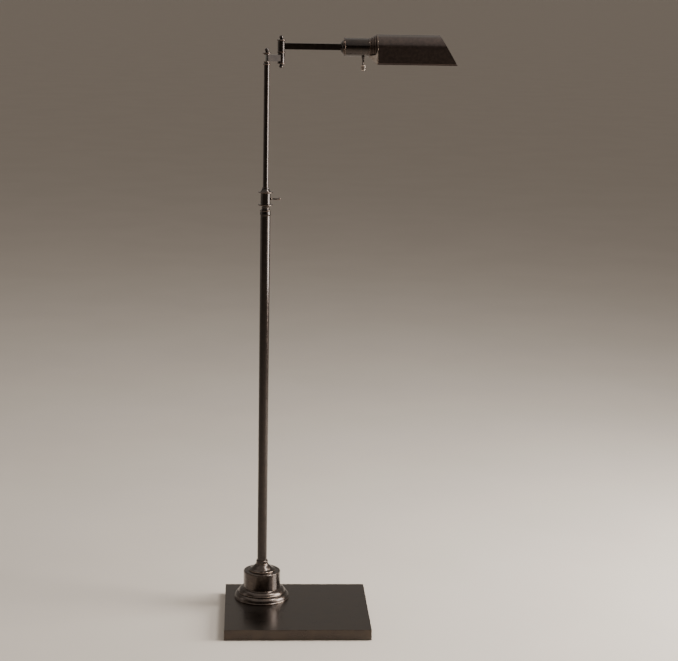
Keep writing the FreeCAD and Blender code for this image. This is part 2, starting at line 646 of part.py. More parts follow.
def housing_parts():
    """The socket housing with its end ring, the band and the stepped gallery that holds the shade."""
    back_bore = S.nipple_radius + S.pivot_fit
    turned("housing_ring", [
        (S.cone_radius - 4, 0), (S.ring_radius - 0.5, 0, 0.15), (S.ring_radius, 0.5),
        (S.ring_radius, S.ring_thick - 0.5, 0.15), (S.ring_radius - 0.5, S.ring_thick),
        (S.cone_radius - 4, S.ring_thick),
    ], on_axis(S.housing_start), ALONG_X)
    start = S.housing_start
    long = S.housing_end - start
    inner = S.housing_radius - S.housing_wall
    housing = turned("socket_housing", [
        (back_bore, 0), (S.cone_radius - 4, 0), (S.cone_radius - 4, S.ring_thick),
        (S.housing_radius, S.ring_thick), (S.housing_radius, long), (inner, long), (inner, 3.2),
        (back_bore, 3.2),
    ], on_axis(start), ALONG_X)
    stem_hole = sketch_on(housing, "YZ_Plane")
    circle(stem_hole, 3.2, (0, S.switch_at - start))
    pocket(housing, stem_hole, 30, reverse=True)
    turned("housing_band", [
        (inner, 0), (S.band_radius - 0.9, 0), (S.band_radius - 0.9, 0.8), (S.band_radius, 1.1),
        (S.band_radius, S.band_long - 0.3), (S.band_radius - 0.3, S.band_long), (inner, S.band_long),
    ], on_axis(S.housing_end), ALONG_X)
    grow = (S.gallery_radius - S.band_radius) / 3
    third = S.gallery_long / 4
    rim = S.band_radius
    turned("shade_gallery", [
        (rim - 2, 0), (rim, 0), (rim + 0.6, 0.6, 0.3), (rim + grow - 0.5, third - 0.4),
        (rim + grow, third, 0.5), (rim + grow * 2 - 0.6, third * 2 - 0.3),
        (rim + grow * 2, third * 2, 0.5), (rim + grow * 3 - 0.4, third * 3),
        (rim + grow * 3, third * 3 + 0.5), (rim + grow * 3, S.gallery_long),
        (rim + grow * 3 - 1.6, S.gallery_long), (rim + grow * 2 - 1.6, third * 2 + 1),
        (rim + grow - 1.8, third + 1),
    ], on_axis(S.housing_end + S.band_long), ALONG_X)


def u_outline(radius, foot, skin=None):
    """The shade's section as an outline: up one side, over the roof and down the other.

    With a skin it is a closed strip of that thickness with a hem at its foot; without, the full face.
    """
    if skin is None:
        return [(radius * -1, foot), (radius * -1, 0, radius * -1), (radius, 0), (radius, foot)]
    inner = radius - skin
    hem, top = radius + S.hem_proud, foot + S.hem_high
    return [(inner * -1, foot), (hem * -1, foot), (hem * -1, top), (radius * -1, top + 0.6),
            (radius * -1, 0, radius * -1), (radius, 0), (radius, top + 0.6), (hem, top),
            (hem, foot), (inner, foot), (inner, 0, inner), (inner * -1, 0)]


def shade_parts():
    """The shade's shell, its end wall, the skirt below the gallery and the rim bead."""
    foot = S.shade_drop * -1
    body = new_body()
    section = sketch_on(body, "YZ_Plane")
    outline(section, u_outline(S.shade_radius, foot, S.shade_skin))
    extrude(body, section, "Pad", S.shade_foot_long)
    slant = sketch_on(body, "XZ_Plane")
    beyond = S.shade_foot_long + 30
    rise = S.shade_radius + S.shade_drop
    run = S.shade_foot_long - S.shade_top_long
    outline(slant, [(S.shade_foot_long, foot), (S.shade_top_long - run * 0.3, foot + rise * 1.3),
                    (beyond, foot + rise * 1.3), (beyond, foot)])
    pocket(body, slant, 120, both=True)
    finished(body, "shade", on_axis(S.shade_start))
    wall = new_body()
    face = sketch_on(wall, "YZ_Plane")
    outline(face, u_outline(S.shade_radius - S.shade_skin - 0.02, foot))
    extrude(wall, face, "Pad", 1.2)
    mouth = sketch_on(wall, "YZ_Plane")
    circle(mouth, S.bulb_radius + 2.4)
    pocket(wall, mouth, None, reverse=True)
    screw_holes = sketch_on(wall, "YZ_Plane")
    for centre in SCREW_PLACES:
        circle(screw_holes, 1.6, centre)
    pocket(wall, screw_holes, None, reverse=True)
    finished(wall, "shade_end", on_axis(S.shade_start))
    shade_skirt(foot)
    rim = new_body()
    strip = sketch_on(rim, "YZ_Plane")
    outline(strip, u_outline(S.shade_radius + 0.7, foot + S.hem_high + 0.8, 0.64))
    extrude(rim, strip, "Pad", 1.6)
    finished(rim, "shade_rim", on_axis(S.shade_start))


def shade_skirt(foot):
    """The folded skirt that closes the shade's lower back corners, below the round gallery."""
    body = new_body()
    long = S.gallery_long - 0.2
    for kind, skin in (("AdditiveLoft", 0), ("SubtractiveLoft", 1)):
        small = sketch_on(body, "YZ_Plane", long * -1)
        rectangle(small, (skin - 13, skin - 20.6), (13 - skin, -6))
        large = sketch_on(body, "YZ_Plane", -0.1)
        wide = S.shade_radius - skin
        rectangle(large, (wide * -1, foot + skin), (wide, -6))
        loft = body.newObject("PartDesign::" + kind, kind)
        loft.Profile = small
        loft.Sections = [large]
        DOC.recompute()
    room = sketch_on(body, "XZ_Plane")
    gap = 0.6
    outline(room, [(-20, 0), (1, 0), (1, S.gallery_radius + gap), (-4, S.gallery_radius + gap),
                   (long * -1 - 0.2, S.band_radius + 1), (-20, S.band_radius + 1)])
    clear = body.newObject("PartDesign::Groove", "Groove")
    clear.Profile = room
    clear.ReferenceAxis = (room, ["H_Axis"])
    clear.Angle = 360
    finished(body, "shade_skirt", on_axis(S.shade_start))


def gallery_screws():
    """The three screws that hold the shade's end wall to the gallery, as one group."""
    heads = []
    for number, (across, up) in enumerate(SCREW_PLACES):
        shank = DOC.addObject("Part::Cylinder", "Shank%d" % number)
        shank.Radius, shank.Height = 1.5, 4.4
        head = DOC.addObject("Part::Cone", "Head%d" % number)
        head.Radius1, head.Radius2, head.Height = 1.9, 2.9, 1.2
        for item, start in ((shank, -3.2), (head, 1.2)):
            flip = FreeCAD.Rotation(V(0, 1, 0), 90)
            item.Placement = FreeCAD.Placement(V(start, across, up), flip)
        screw = DOC.addObject("Part::Fuse", "Screw%d" % number)
        screw.Base, screw.Tool = shank, head
        heads.append(screw)
    group = DOC.addObject("Part::Compound", "Screws")
    group.Links = heads
    finished(group, "gallery_screws", on_axis(S.shade_start))


# ---- lamp holder, bulb and switch ----------------------------------------------------------------

def light_parts():
    """The porcelain holder with its threaded shell, and a tubular bulb with its screw cap."""
    back = S.housing_start + 14.8
    seat = S.housing_radius - S.housing_wall
    turned("lamp_holder", [
        (2.2, 0), (seat, 0), (seat, 10), (S.holder_radius, 10), (S.holder_radius, 40),
        (S.shell_radius + 0.5, 40), (S.shell_radius + 0.5, 12), (2.2, 12),
    ], on_axis(back), ALONG_X)
    turned("holder_shell", [
        (4, 0), (S.shell_radius + 0.3, 0), (S.shell_radius + 0.3, 30), (S.shell_radius - 0.3, 30),
        (S.shell_radius - 0.3, 0.6), (4, 0.6),
    ], on_axis(back + 12), ALONG_X)
    turned("holder_contact", [(0, 0), (3, 0), (3, 2), (1.8, 3.2, DOME), (0, 3.6)],
           on_axis(back + 12), ALONG_X)
    cap, cap_long, pitch = S.bulb_cap_radius, 26.5, 3.5
    ribs = [(cap, 5.5 + pitch * turn, 0.5) for turn in range(6)]
    turned("bulb_cap", [(0, 0), (4.5, 0, 0.4), (5, 1.4), (cap - 3, 4)] + ribs
           + [(cap, cap_long), (0, cap_long)], on_axis(S.bulb_start - cap_long), ALONG_X)
    bulb, long = S.bulb_radius, S.bulb_long
    turned("bulb_glass", [
        (0, 0), (cap - 0.4, 0), (cap - 0.4, 2, -1), (bulb, 12), (bulb, long - bulb, DOME),
        (0, long), (0, long - 1.2, DOME), (bulb - 1.2, long - bulb),
        (bulb - 1.2, 12, 1), (cap - 1.6, 2), (cap - 1.6, 1.2), (0, 1.2),
    ], on_axis(S.bulb_start + 0.2), ALONG_X)


def switch_parts():
    """The rotary switch: its bush on the housing, the stem and the turning knob."""
    under = S.arm_level - S.housing_radius
    bore, inside = 2.16, 3
    turned("switch_bush", [
        (bore, 0), (2.5, 0, -0.5), (4.6, 6.4), (4.6, 6.9), (2.9, 6.95), (2.9, 9.8), (bore, 9.8),
    ], (S.switch_at, OUTER_Y, under - 7))
    turned("switch_stem", [
        (0, 0), (1.7, 0), (2.1, S.stem_long - 7), (2.1, S.stem_long + inside),
        (0, S.stem_long + inside)], (S.switch_at, OUTER_Y, under - S.stem_long))
    knob = turned("switch_knob", [
        (0, 0), (2.6, 0.7, 0.5), (4.2, 4, 0.3), (S.knob_radius, S.knob_high - 4, 0.9),
        (3.4, S.knob_high - 0.4), (1.7, S.knob_high), (0, S.knob_high),
    ], (S.switch_at, OUTER_Y, under - S.stem_long - S.knob_high))
    for side in (1, -1):
        flat_cut = sketch_on(knob, "XZ_Plane", side * 2.6)
        rectangle(flat_cut, (-8, -1), (8, S.knob_high - 3))
        pocket(knob, flat_cut, 6, reverse=side > 0)


def build_all():
    felt_pad()
    bottom_board()
    base_cover()
    ballast_plate()
    foot_parts()
    base_stud_parts()
    cord_gland()
    supply_lead()
    tube_parts()
    clamp_parts()
    thumb_screw()
    mast_parts()
    link_bar()
    link_parts()
    arm_parts()
    housing_parts()
    shade_parts()
    gallery_screws()
    light_parts()
    switch_parts()


def check_document():
    """Stops if any object failed, or any piece is empty or not a valid solid."""
    for item in DOC.Objects:
        if "Invalid" in item.State or "Error" in item.State:
            raise RuntimeError("%s (%s) failed" % (item.Name, item.Label))
    for piece in PIECES:
        shape = piece.Shape
        if shape.isNull() or not shape.isValid() or not shape.Solids:
            raise RuntimeError("%s has no valid solid" % piece.Label)


build_all()
DOC.recompute()
check_document()
os.makedirs("parts", exist_ok=True)
for piece in PIECES:
    piece.Shape.exportStep("parts/%s.step" % piece.Label)
print("%d pieces written" % len(PIECES))
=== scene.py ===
"""A pharmacy floor lamp in oil rubbed bronze: its turned, folded and drawn pieces and finishes.

Lengths in the profiles are millimetres and become metres when a piece is made. +Z is up, +X runs
from the mast to the shade, and the origin is on the floor under the mast. Every place comes from
the frame.
"""

import json
import logging
import math
from dataclasses import dataclass, field
from enum import Enum
from typing import Any, Iterable, Optional, Sequence, Union

import bmesh
import bpy
from mathutils import Matrix, Vector

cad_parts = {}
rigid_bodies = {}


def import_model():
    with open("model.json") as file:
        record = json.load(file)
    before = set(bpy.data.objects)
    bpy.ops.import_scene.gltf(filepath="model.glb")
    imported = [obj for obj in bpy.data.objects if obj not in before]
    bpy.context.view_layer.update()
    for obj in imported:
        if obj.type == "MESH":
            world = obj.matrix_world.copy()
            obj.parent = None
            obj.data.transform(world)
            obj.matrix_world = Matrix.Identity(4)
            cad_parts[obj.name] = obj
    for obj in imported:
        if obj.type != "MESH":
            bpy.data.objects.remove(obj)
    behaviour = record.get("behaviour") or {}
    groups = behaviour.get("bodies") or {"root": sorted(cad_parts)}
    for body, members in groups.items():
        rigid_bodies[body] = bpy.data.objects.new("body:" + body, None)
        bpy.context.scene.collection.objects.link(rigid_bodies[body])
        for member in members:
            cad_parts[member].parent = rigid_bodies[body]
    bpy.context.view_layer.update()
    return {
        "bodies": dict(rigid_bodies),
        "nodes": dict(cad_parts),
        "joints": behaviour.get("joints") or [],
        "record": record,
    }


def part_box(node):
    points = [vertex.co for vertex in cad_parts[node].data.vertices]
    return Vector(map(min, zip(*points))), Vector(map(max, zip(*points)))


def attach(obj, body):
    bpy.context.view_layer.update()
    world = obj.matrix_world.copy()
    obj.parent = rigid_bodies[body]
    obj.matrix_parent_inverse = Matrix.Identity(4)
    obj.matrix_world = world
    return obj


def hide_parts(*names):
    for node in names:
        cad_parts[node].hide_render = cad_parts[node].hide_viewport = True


log = logging.getLogger("floor_lamp")

MM = 0.001
ROUND_STEPS = 96             # flats round a turned piece
SMALL_STEPS = 48             # flats round a small one
WELD = 0.0005                # millimetres: points closer than this are one
SLIVER = 1e-9                # square millimetres: a smaller face is none
DOME = "dome"                # a bow about a centre on the turning axis
Point = tuple[Any, ...]


class Way(Enum):
    """Which way a turned piece's own axis points in the lamp."""

    UP = "up"
    DOWN = "down"
    ALONG = "along"          # from the mast towards the shade


# ---- meshes --------------------------------------------------------------------------------------

def bow_centre(start: Vector, end: Vector, bow: Union[float, str]) -> tuple[Vector, float]:
    """Finds the centre and the sweep of an arc between two points of a flat outline.

    Args:
        start: The arc's first point, across and up.
        end: Its last point.
        bow: The arc's height, positive to the right of its run, or DOME.

    Returns:
        The centre, and the angle in radians, positive anticlockwise.
    """
    if bow == DOME:
        up = (end.y ** 2 - start.y ** 2 + end.x ** 2 - start.x ** 2) / (2 * (end.y - start.y))
        centre = Vector((0, up))
        first, last = start - centre, end - centre
        return centre, math.atan2(first.cross(last), first.dot(last))
    run = end - start
    side = Vector((run.y, -run.x)).normalized()
    radius = (run.length_squared / 4 + bow * bow) / (2 * bow)
    centre = (start + end) / 2 + side * (bow - radius)
    return centre, 4 * math.atan(2 * bow / run.length)


def draw_outline(bm: bmesh.types.BMesh, points: Sequence[Point], fineness: float = 0.2) -> None:
    """Draws a closed wire on the XZ plane, in millimetres.

    Args:
        bm: The mesh to draw in.
        points: Across, up and, where the run after the point is bowed, the bow's height or DOME.
        fineness: The largest angle in radians between neighbouring flats of a bow.
    """
    first = last = bm.verts.new((points[0][0], 0, points[0][1]))
    for index, point in enumerate(points):
        following = points[(index + 1) % len(points)]
        start, end = Vector(point[:2]), Vector(following[:2])
        if len(point) > 2:
            centre, sweep = bow_centre(start, end, point[2])
            steps = max(3, math.ceil(abs(sweep) / fineness))
            made = bmesh.ops.spin(bm, geom=[last], cent=(centre.x, 0, centre.y), axis=(0, -1, 0),
                                  angle=sweep * (steps - 1) / steps, steps=steps - 1)
            last = [item for item in made["geom_last"] if isinstance(item, bmesh.types.BMVert)][0]
        closing = index == len(points) - 1
        target = first if closing else bm.verts.new((end.x, 0, end.y))
        bm.edges.new((last, target))
        last = target


def tidy(bm: bmesh.types.BMesh) -> None:
    """Merges doubled points and turns every face outwards."""
    bmesh.ops.remove_doubles(bm, verts=bm.verts, dist=WELD)
    bmesh.ops.recalc_face_normals(bm, faces=bm.faces)


def turned(points: Sequence[Point], steps: int = ROUND_STEPS) -> bmesh.types.BMesh:
    """Turns a closed outline of radius and height about the upright axis, in millimetres."""
    bm = bmesh.new()
    draw_outline(bm, points)
    wire = list(bm.verts) + list(bm.edges)
    bmesh.ops.spin(bm, geom=wire, cent=(0, 0, 0), axis=(0, 0, 1), angle=math.tau, steps=steps,
                   use_merge=True)
    on_axis = [edge for edge in bm.edges if not edge.link_faces]
    bmesh.ops.delete(bm, geom=on_axis, context="EDGES")
    bmesh.ops.remove_doubles(bm, verts=bm.verts, dist=WELD)
    flat = [face for face in bm.faces if face.calc_area() < SLIVER]
    bmesh.ops.delete(bm, geom=flat, context="FACES")
    tidy(bm)
    return bm


def drawn(points: Sequence[Point], long: float) -> bmesh.types.BMesh:
    """Pulls a closed outline of across and up through a length along Y, in millimetres."""
    bm = bmesh.new()
    draw_outline(bm, points, fineness=0.07)
    bmesh.ops.remove_doubles(bm, verts=bm.verts, dist=WELD)
    face = bmesh.ops.contextual_create(bm, geom=list(bm.edges))["faces"]
    pulled = bmesh.ops.extrude_face_region(bm, geom=face, use_keep_orig=True)
    moved = [item for item in pulled["geom"] if isinstance(item, bmesh.types.BMVert)]
    bmesh.ops.translate(bm, verts=moved, vec=(0, long, 0))
    bmesh.ops.recalc_face_normals(bm, faces=bm.faces)
    return bm


def block(low: Sequence[float], high: Sequence[float]) -> bmesh.types.BMesh:
    """A rectangular block between two corners, in millimetres."""
    bm = bmesh.new()
    bmesh.ops.create_cube(bm, size=1)
    size = [top - bottom for bottom, top in zip(low, high)]
    bmesh.ops.scale(bm, verts=bm.verts, vec=size)
    bmesh.ops.translate(bm, verts=bm.verts, vec=[(a + b) / 2 for a, b in zip(low, high)])
    return bm


def soften(bm: bmesh.types.BMesh, width: float, sharpest: float) -> None:
    """Rounds every edge that is sharper than an angle in degrees."""
    limit = math.radians(sharpest)
    edges = [edge for edge in bm.edges
             if edge.is_manifold and edge.calc_face_angle(0) > limit]
    if edges:
        bmesh.ops.bevel(bm, geom=edges, offset=width, offset_type="OFFSET", segments=2,
                        profile=0.5, affect="EDGES", clamp_overlap=True, material=-1)


def flatten(bm: bmesh.types.BMesh, axis: int, half: float, low: float, high: float) -> None:
    """Presses the points between two heights in to a half thickness across an axis."""
    for vert in bm.verts:
        if low < vert.co.z < high and abs(vert.co[axis]) > half:
            vert.co[axis] = math.copysign(half, vert.co[axis])


def mark_rub(bm: bmesh.types.BMesh, flat: float = 0.14, full: float = 0.5) -> None:
    """Writes how far each point sticks out, 1 on a sharp ridge and -1 in a groove, as "rub".

    Args:
        bm: A mesh in millimetres.
        flat: The curvature, per millimetre, below which nothing is rubbed.
        full: The curvature over flat at which a ridge is rubbed bare.
    """
    layer = bm.verts.layers.float.new("rub")
    for vert in bm.verts:
        area = sum(face.calc_area() / len(face.verts) for face in vert.link_faces)
        bend = sum(edge.calc_face_angle_signed(0) * edge.calc_length()
                   for edge in vert.link_edges if edge.is_manifold)
        curve = bend / (4 * area) if area > SLIVER else 0
        beyond = max(abs(curve) - flat, 0) / full
        vert[layer] = math.copysign(min(beyond, 1), curve)


def mesh_of(name: str, bm: bmesh.types.BMesh) -> bpy.types.Mesh:
    """Turns a working mesh into a named one, and frees it."""
    mesh = bpy.data.meshes.new(name)
    bm.to_mesh(mesh)
    bm.free()
    return mesh


def in_scene(name: str, data: bpy.types.ID) -> bpy.types.Object:
    """Makes an object from its data and links it to the scene."""
    obj = bpy.data.objects.new(name, data)
    bpy.context.scene.collection.objects.link(obj)
    return obj


# ---- finishes ------------------------------------------------------------------------------------

def colour(code: str) -> tuple[float, float, float, float]:
    """Turns an sRGB hex code to the linear colour that a shader takes."""
    parts = [int(code[at:at + 2], 16) / 255 for at in (0, 2, 4)]
    linear = [part / 12.92 if part <= 0.04045 else ((part + 0.055) / 1.055) ** 2.4
              for part in parts]
    return (*linear, 1.0)


def fill(tree: bpy.types.NodeTree, node: bpy.types.Node,
         values: dict[Union[str, int], Any]) -> None:
    """Fills a node's inputs by name or number, each with a socket to link or a value to set."""
    for name, value in values.items():
        if isinstance(value, bpy.types.NodeSocket):
            tree.links.new(value, node.inputs[name])
        else:
            node.inputs[name].default_value = value


def add_node(tree: bpy.types.NodeTree, kind: str, settings: Optional[dict[str, Any]] = None,
             links: Optional[dict[Union[str, int], Any]] = None) -> bpy.types.Node:
    """Adds a shader node.

    Args:
        tree: The node tree.
        kind: The node's type name after "ShaderNode".
        settings: Its properties.
        links: Its inputs by name or number: an output socket to link, or a value to set.

    Returns:
        The node.
    """
    node = tree.nodes.new("ShaderNode" + kind)
    for name, value in (settings or {}).items():
        setattr(node, name, value)
    fill(tree, node, links or {})
    return node


def blank(name: str) -> tuple[bpy.types.Material, bpy.types.NodeTree, bpy.types.Node]:
    """A new material, its empty tree and its Principled shader, linked to the output."""
    material = bpy.data.materials.new(name)
    material.use_nodes = True
    tree = material.node_tree
    tree.nodes.clear()
    shader = add_node(tree, "BsdfPrincipled")
    add_node(tree, "OutputMaterial", links={"Surface": shader.outputs["BSDF"]})
    return material, tree, shader


def mottle(tree: bpy.types.NodeTree, size: float, detail: float = 3) -> bpy.types.NodeSocket:
    """Noise whose blotches are a size in millimetres."""
    place = add_node(tree, "TexCoord").outputs["Object"]
    noise = add_node(tree, "TexNoise", links={"Vector": place, "Scale": 1 / (size * MM),
                                              "Detail": detail, "Roughness": 0.55})
    return noise.outputs["Fac"]


def bumped(tree: bpy.types.NodeTree, height: bpy.types.NodeSocket,
           depth: float) -> bpy.types.NodeSocket:
    """The shading normal of a relief that is a depth in millimetres."""
    bump = add_node(tree, "Bump", links={"Strength": 1.0, "Distance": depth * MM,
                                         "Height": height})
    return bump.outputs["Normal"]


def spread(tree: bpy.types.NodeTree, value: Any, low: float, high: float, to_low: float = 0,
           to_high: float = 1) -> bpy.types.NodeSocket:
    """Maps a value from one range to another, smoothly and clamped."""
    node = add_node(tree, "MapRange", {"interpolation_type": "SMOOTHSTEP"},
                    {"Value": value, "From Min": low, "From Max": high, "To Min": to_low,
                     "To Max": to_high})
    return node.outputs["Result"]


def blended(tree: bpy.types.NodeTree, share: Any, under: Any, over: Any) -> bpy.types.NodeSocket:
    """Mixes two colours, each a socket or a linear colour."""
    node = add_node(tree, "Mix", {"data_type": "RGBA"}, {0: share, 6: under, 7: over})
    return node.outputs[2]


def arithmetic(tree: bpy.types.NodeTree, how: str, first: Any,
               second: Any) -> bpy.types.NodeSocket:
    """One step of arithmetic on sockets or numbers."""
    return add_node(tree, "Math", {"operation": how}, {0: first, 1: second}).outputs[0]


GROOVE_BLACK = "0c0908"          # old wax in a groove


@dataclass(frozen=True)
class RubbedBronze:
    """Bronze plate under dark wax, rubbed through on the ridges and left black in the grooves."""

    name: str
    deep: str                    # the wax over the plate
    bloom: str                   # the plate showing through it in soft blotches
    worn: str = "776153"         # bare warm metal on the ridges
    roughness: float = 0.24
    uneven: float = 0.06         # how much the roughness wanders
    blotch: float = 9.0          # millimetres across
    grain: float = 0.9           # millimetres across
    pits: float = 0.0008         # millimetres deep
    rubbing: float = 0.8         # how bare the ridges are
    wax: float = 0.6             # how much of a clear wax coat lies over it
    wax_roughness: float = 0.12

    def build(self) -> bpy.types.Material:
        """Makes the material."""
        material, tree, shader = blank(self.name)
        cloud = mottle(tree, self.blotch)
        fine = mottle(tree, self.grain, 2)
        ridge = add_node(tree, "Attribute", {"attribute_name": "rub"}).outputs["Fac"]
        patchy = arithmetic(tree, "MULTIPLY", spread(tree, ridge, 0.05, 0.8),
                            spread(tree, mottle(tree, self.blotch / 4), 0.3, 0.62, 0.35))
        rubbed = arithmetic(tree, "MULTIPLY", patchy, self.rubbing)
        groove = spread(tree, ridge, -0.7, -0.05, 1, 0)
        skin = blended(tree, spread(tree, cloud, 0.35, 0.68), colour(self.deep),
                       colour(self.bloom))
        skin = blended(tree, arithmetic(tree, "MULTIPLY", groove, 0.75), skin,
                       colour(GROOVE_BLACK))
        skin = blended(tree, rubbed, skin, colour(self.worn))
        haze = spread(tree, cloud, 0.3, 0.7, self.roughness - self.uneven / 2,
                      self.roughness + self.uneven / 2)
        haze = arithmetic(tree, "ADD", haze, spread(tree, fine, 0.3, 0.7, -0.015, 0.015))
        haze = arithmetic(tree, "ADD", haze, arithmetic(tree, "MULTIPLY", groove, 0.25))
        fill(tree, shader, {
            "Base Color": skin, "Roughness": haze, "Normal": bumped(tree, fine, self.pits),
            "Metallic": 1.0, "Coat Weight": self.wax, "Coat Roughness": self.wax_roughness})
        return material


@dataclass(frozen=True)
class PlainMetal:
    """Metal with turning or drawing marks: zinc plated steel, brass, aluminium or cast iron."""

    name: str
    base: str
    shade: str
    roughness: float = 0.32
    blotch: float = 6.0          # millimetres
    grain: float = 0.6           # millimetres
    relief: float = 0.01         # millimetres

    def build(self) -> bpy.types.Material:
        """Makes the material."""
        material, tree, shader = blank(self.name)
        cloud, fine = mottle(tree, self.blotch), mottle(tree, self.grain, 4)
        skin = blended(tree, spread(tree, cloud, 0.32, 0.7), colour(self.base), colour(self.shade))
        haze = spread(tree, fine, 0.25, 0.75, self.roughness - 0.07, self.roughness + 0.07)
        fill(tree, shader, {"Base Color": skin, "Roughness": haze, "Metallic": 1.0,
                            "Normal": bumped(tree, fine, self.relief)})
        return material


@dataclass(frozen=True)
class Plain:
    """A material that isn't metal: felt, board, fibre, insulation or glazed porcelain."""

    name: str
    base: str
    shade: str
    roughness: float
    ior: float = 1.5
    blotch: float = 5.0          # millimetres
    grain: float = 0.7           # millimetres
    relief: float = 0.02         # millimetres
    sheen: float = 0.0
    coat: float = 0.0

    def build(self) -> bpy.types.Material:
        """Makes the material."""
        material, tree, shader = blank(self.name)
        cloud, fine = mottle(tree, self.blotch), mottle(tree, self.grain, 4)
        skin = blended(tree, spread(tree, cloud, 0.3, 0.7), colour(self.base), colour(self.shade))
        haze = spread(tree, fine, 0.25, 0.75, self.roughness - 0.06, min(self.roughness + 0.06, 1))
        fill(tree, shader, {
            "Base Color": skin, "Roughness": haze, "Normal": bumped(tree, fine, self.relief),
            "IOR": self.ior, "Sheen Weight": self.sheen, "Coat Weight": self.coat,
            "Coat Roughness": 0.06})
        return material


@dataclass(frozen=True)
class FrostedGlass:
    """Lamp glass with a white coating inside: milky, with a soft gloss outside."""

    name: str
    base: str = "ece9e2"
    roughness: float = 0.28

    def build(self) -> bpy.types.Material:
        """Makes the material."""
        material, tree, shader = blank(self.name)
        fine = mottle(tree, 1.5, 2)
        skin = blended(tree, spread(tree, mottle(tree, 20), 0.3, 0.7), colour(self.base),
                       colour("f4f1ea"))
        haze = spread(tree, fine, 0.3, 0.7, self.roughness - 0.04, self.roughness + 0.04)
        fill(tree, shader, {"Base Color": skin, "Roughness": haze, "IOR": 1.52,
                            "Subsurface Weight": 0.3, "Subsurface Scale": 0.002})
        return material


# One finish for each of the record's material slots, and brushed_bronze for some bronze pieces.
FINISHES: dict[str, Any] = {
    # Turned and drawn brass, plated, waxed and polished: near black, with tight highlights.
    "bronze": RubbedBronze("oil_rubbed_bronze_polished_wax", "2a2320", "332b26"),
    # The spun foot, brushed while it turned: browner, with a softer shine.
    "brushed_bronze": RubbedBronze("oil_rubbed_bronze_brushed_in_the_lathe", "3c332e", "483e37",
                                   worn="95806f", roughness=0.28, uneven=0.02, blotch=12.0,
                                   wax_roughness=0.16),
    # Spun and folded sheet, waxed and left satin: soft highlights and a fine cloudiness.
    "bronze_satin": RubbedBronze("oil_rubbed_bronze_satin_wax", "3d3430", "463b36",
                                 roughness=0.36, blotch=7.0, grain=1.2, pits=0.003,
                                 wax_roughness=0.16),
    # The same plate rubbed back by hands: pale and warm, and lighter than the wear alone, as a
    # painted highlight for the light that the knob and the skirt catch.
    "rubbed_bronze": RubbedBronze("oil_rubbed_bronze_rubbed_back_painted_highlight", "b3a69b", "c0b4a9",
                                  worn="d6c8ba", roughness=0.3),
    # A large flat of plated steel, waxed by hand: faint clouds and a blurred mirror.
    "plate_bronze": RubbedBronze("bronze_plated_steel_hand_waxed", "3a312b", "42382f",
                                 roughness=0.3, uneven=0.04, blotch=30.0, grain=1.5, pits=0.001,
                                 rubbing=0.2, wax_roughness=0.2),
    # Sand cast iron: black and grainy.
    "cast_ballast": PlainMetal("cast_iron_as_cast", "2b2a29", "3a3836", 0.7, 8.0, 1.2, 0.15),
    # Pressed wool felt: matte and fuzzy.
    "felt": Plain("wool_felt_pressed", "1d1c1b", "2a2827", 0.95, 1.45, 4.0, 0.8, 0.25, sheen=0.4),
    # Hardboard: brown, slightly fibrous.
    "board": Plain("hardboard_pressed", "5a4431", "6d533c", 0.7, 1.5, 6.0, 0.7, 0.05),
    # Zinc plated steel: bright grey with a faint bloom.
    "zinc_steel": PlainMetal("zinc_plated_steel_turned", "a7a8a6", "8f918f", 0.3),
    # Free cutting brass as turned.
    "brass": PlainMetal("brass_turned", "b99555", "a58146", 0.25),
    # Flexible vinyl insulation, extruded.
    "insulation": Plain("vinyl_insulation_extruded", "1c1a19", "242120", 0.5, 1.5, 5.0, 0.8, 0.02),
    # Vulcanised fibre washer, punched.
    "fibre": Plain("vulcanised_fibre_punched", "5f4a36", "6e5640", 0.65),
    # Glazed electrical porcelain: white, glassy over a fine orange peel.
    "porcelain": Plain("porcelain_glazed", "e6e2d8", "efece4", 0.22, 1.5, 9.0, 2.0, 0.01,
                       coat=0.6),
    # Drawn aluminium lamp cap.
    "bulb_metal": PlainMetal("aluminium_drawn", "c4c3c0", "b2b1ae", 0.28),
    "bulb_glass": FrostedGlass("lamp_glass_frosted"),
}

# Nodes kept from the frame whose finish isn't the one named after their slot: the skirt takes the
# pale rubbed finish as a painted highlight, for the bright facet that light makes on it.
PAINTED_HIGHLIGHT_FINISH: dict[str, str] = {"shade_skirt": "rubbed_bronze"}


# ---- the workshop: frame, finishes and pieces ----------------------------------------------------

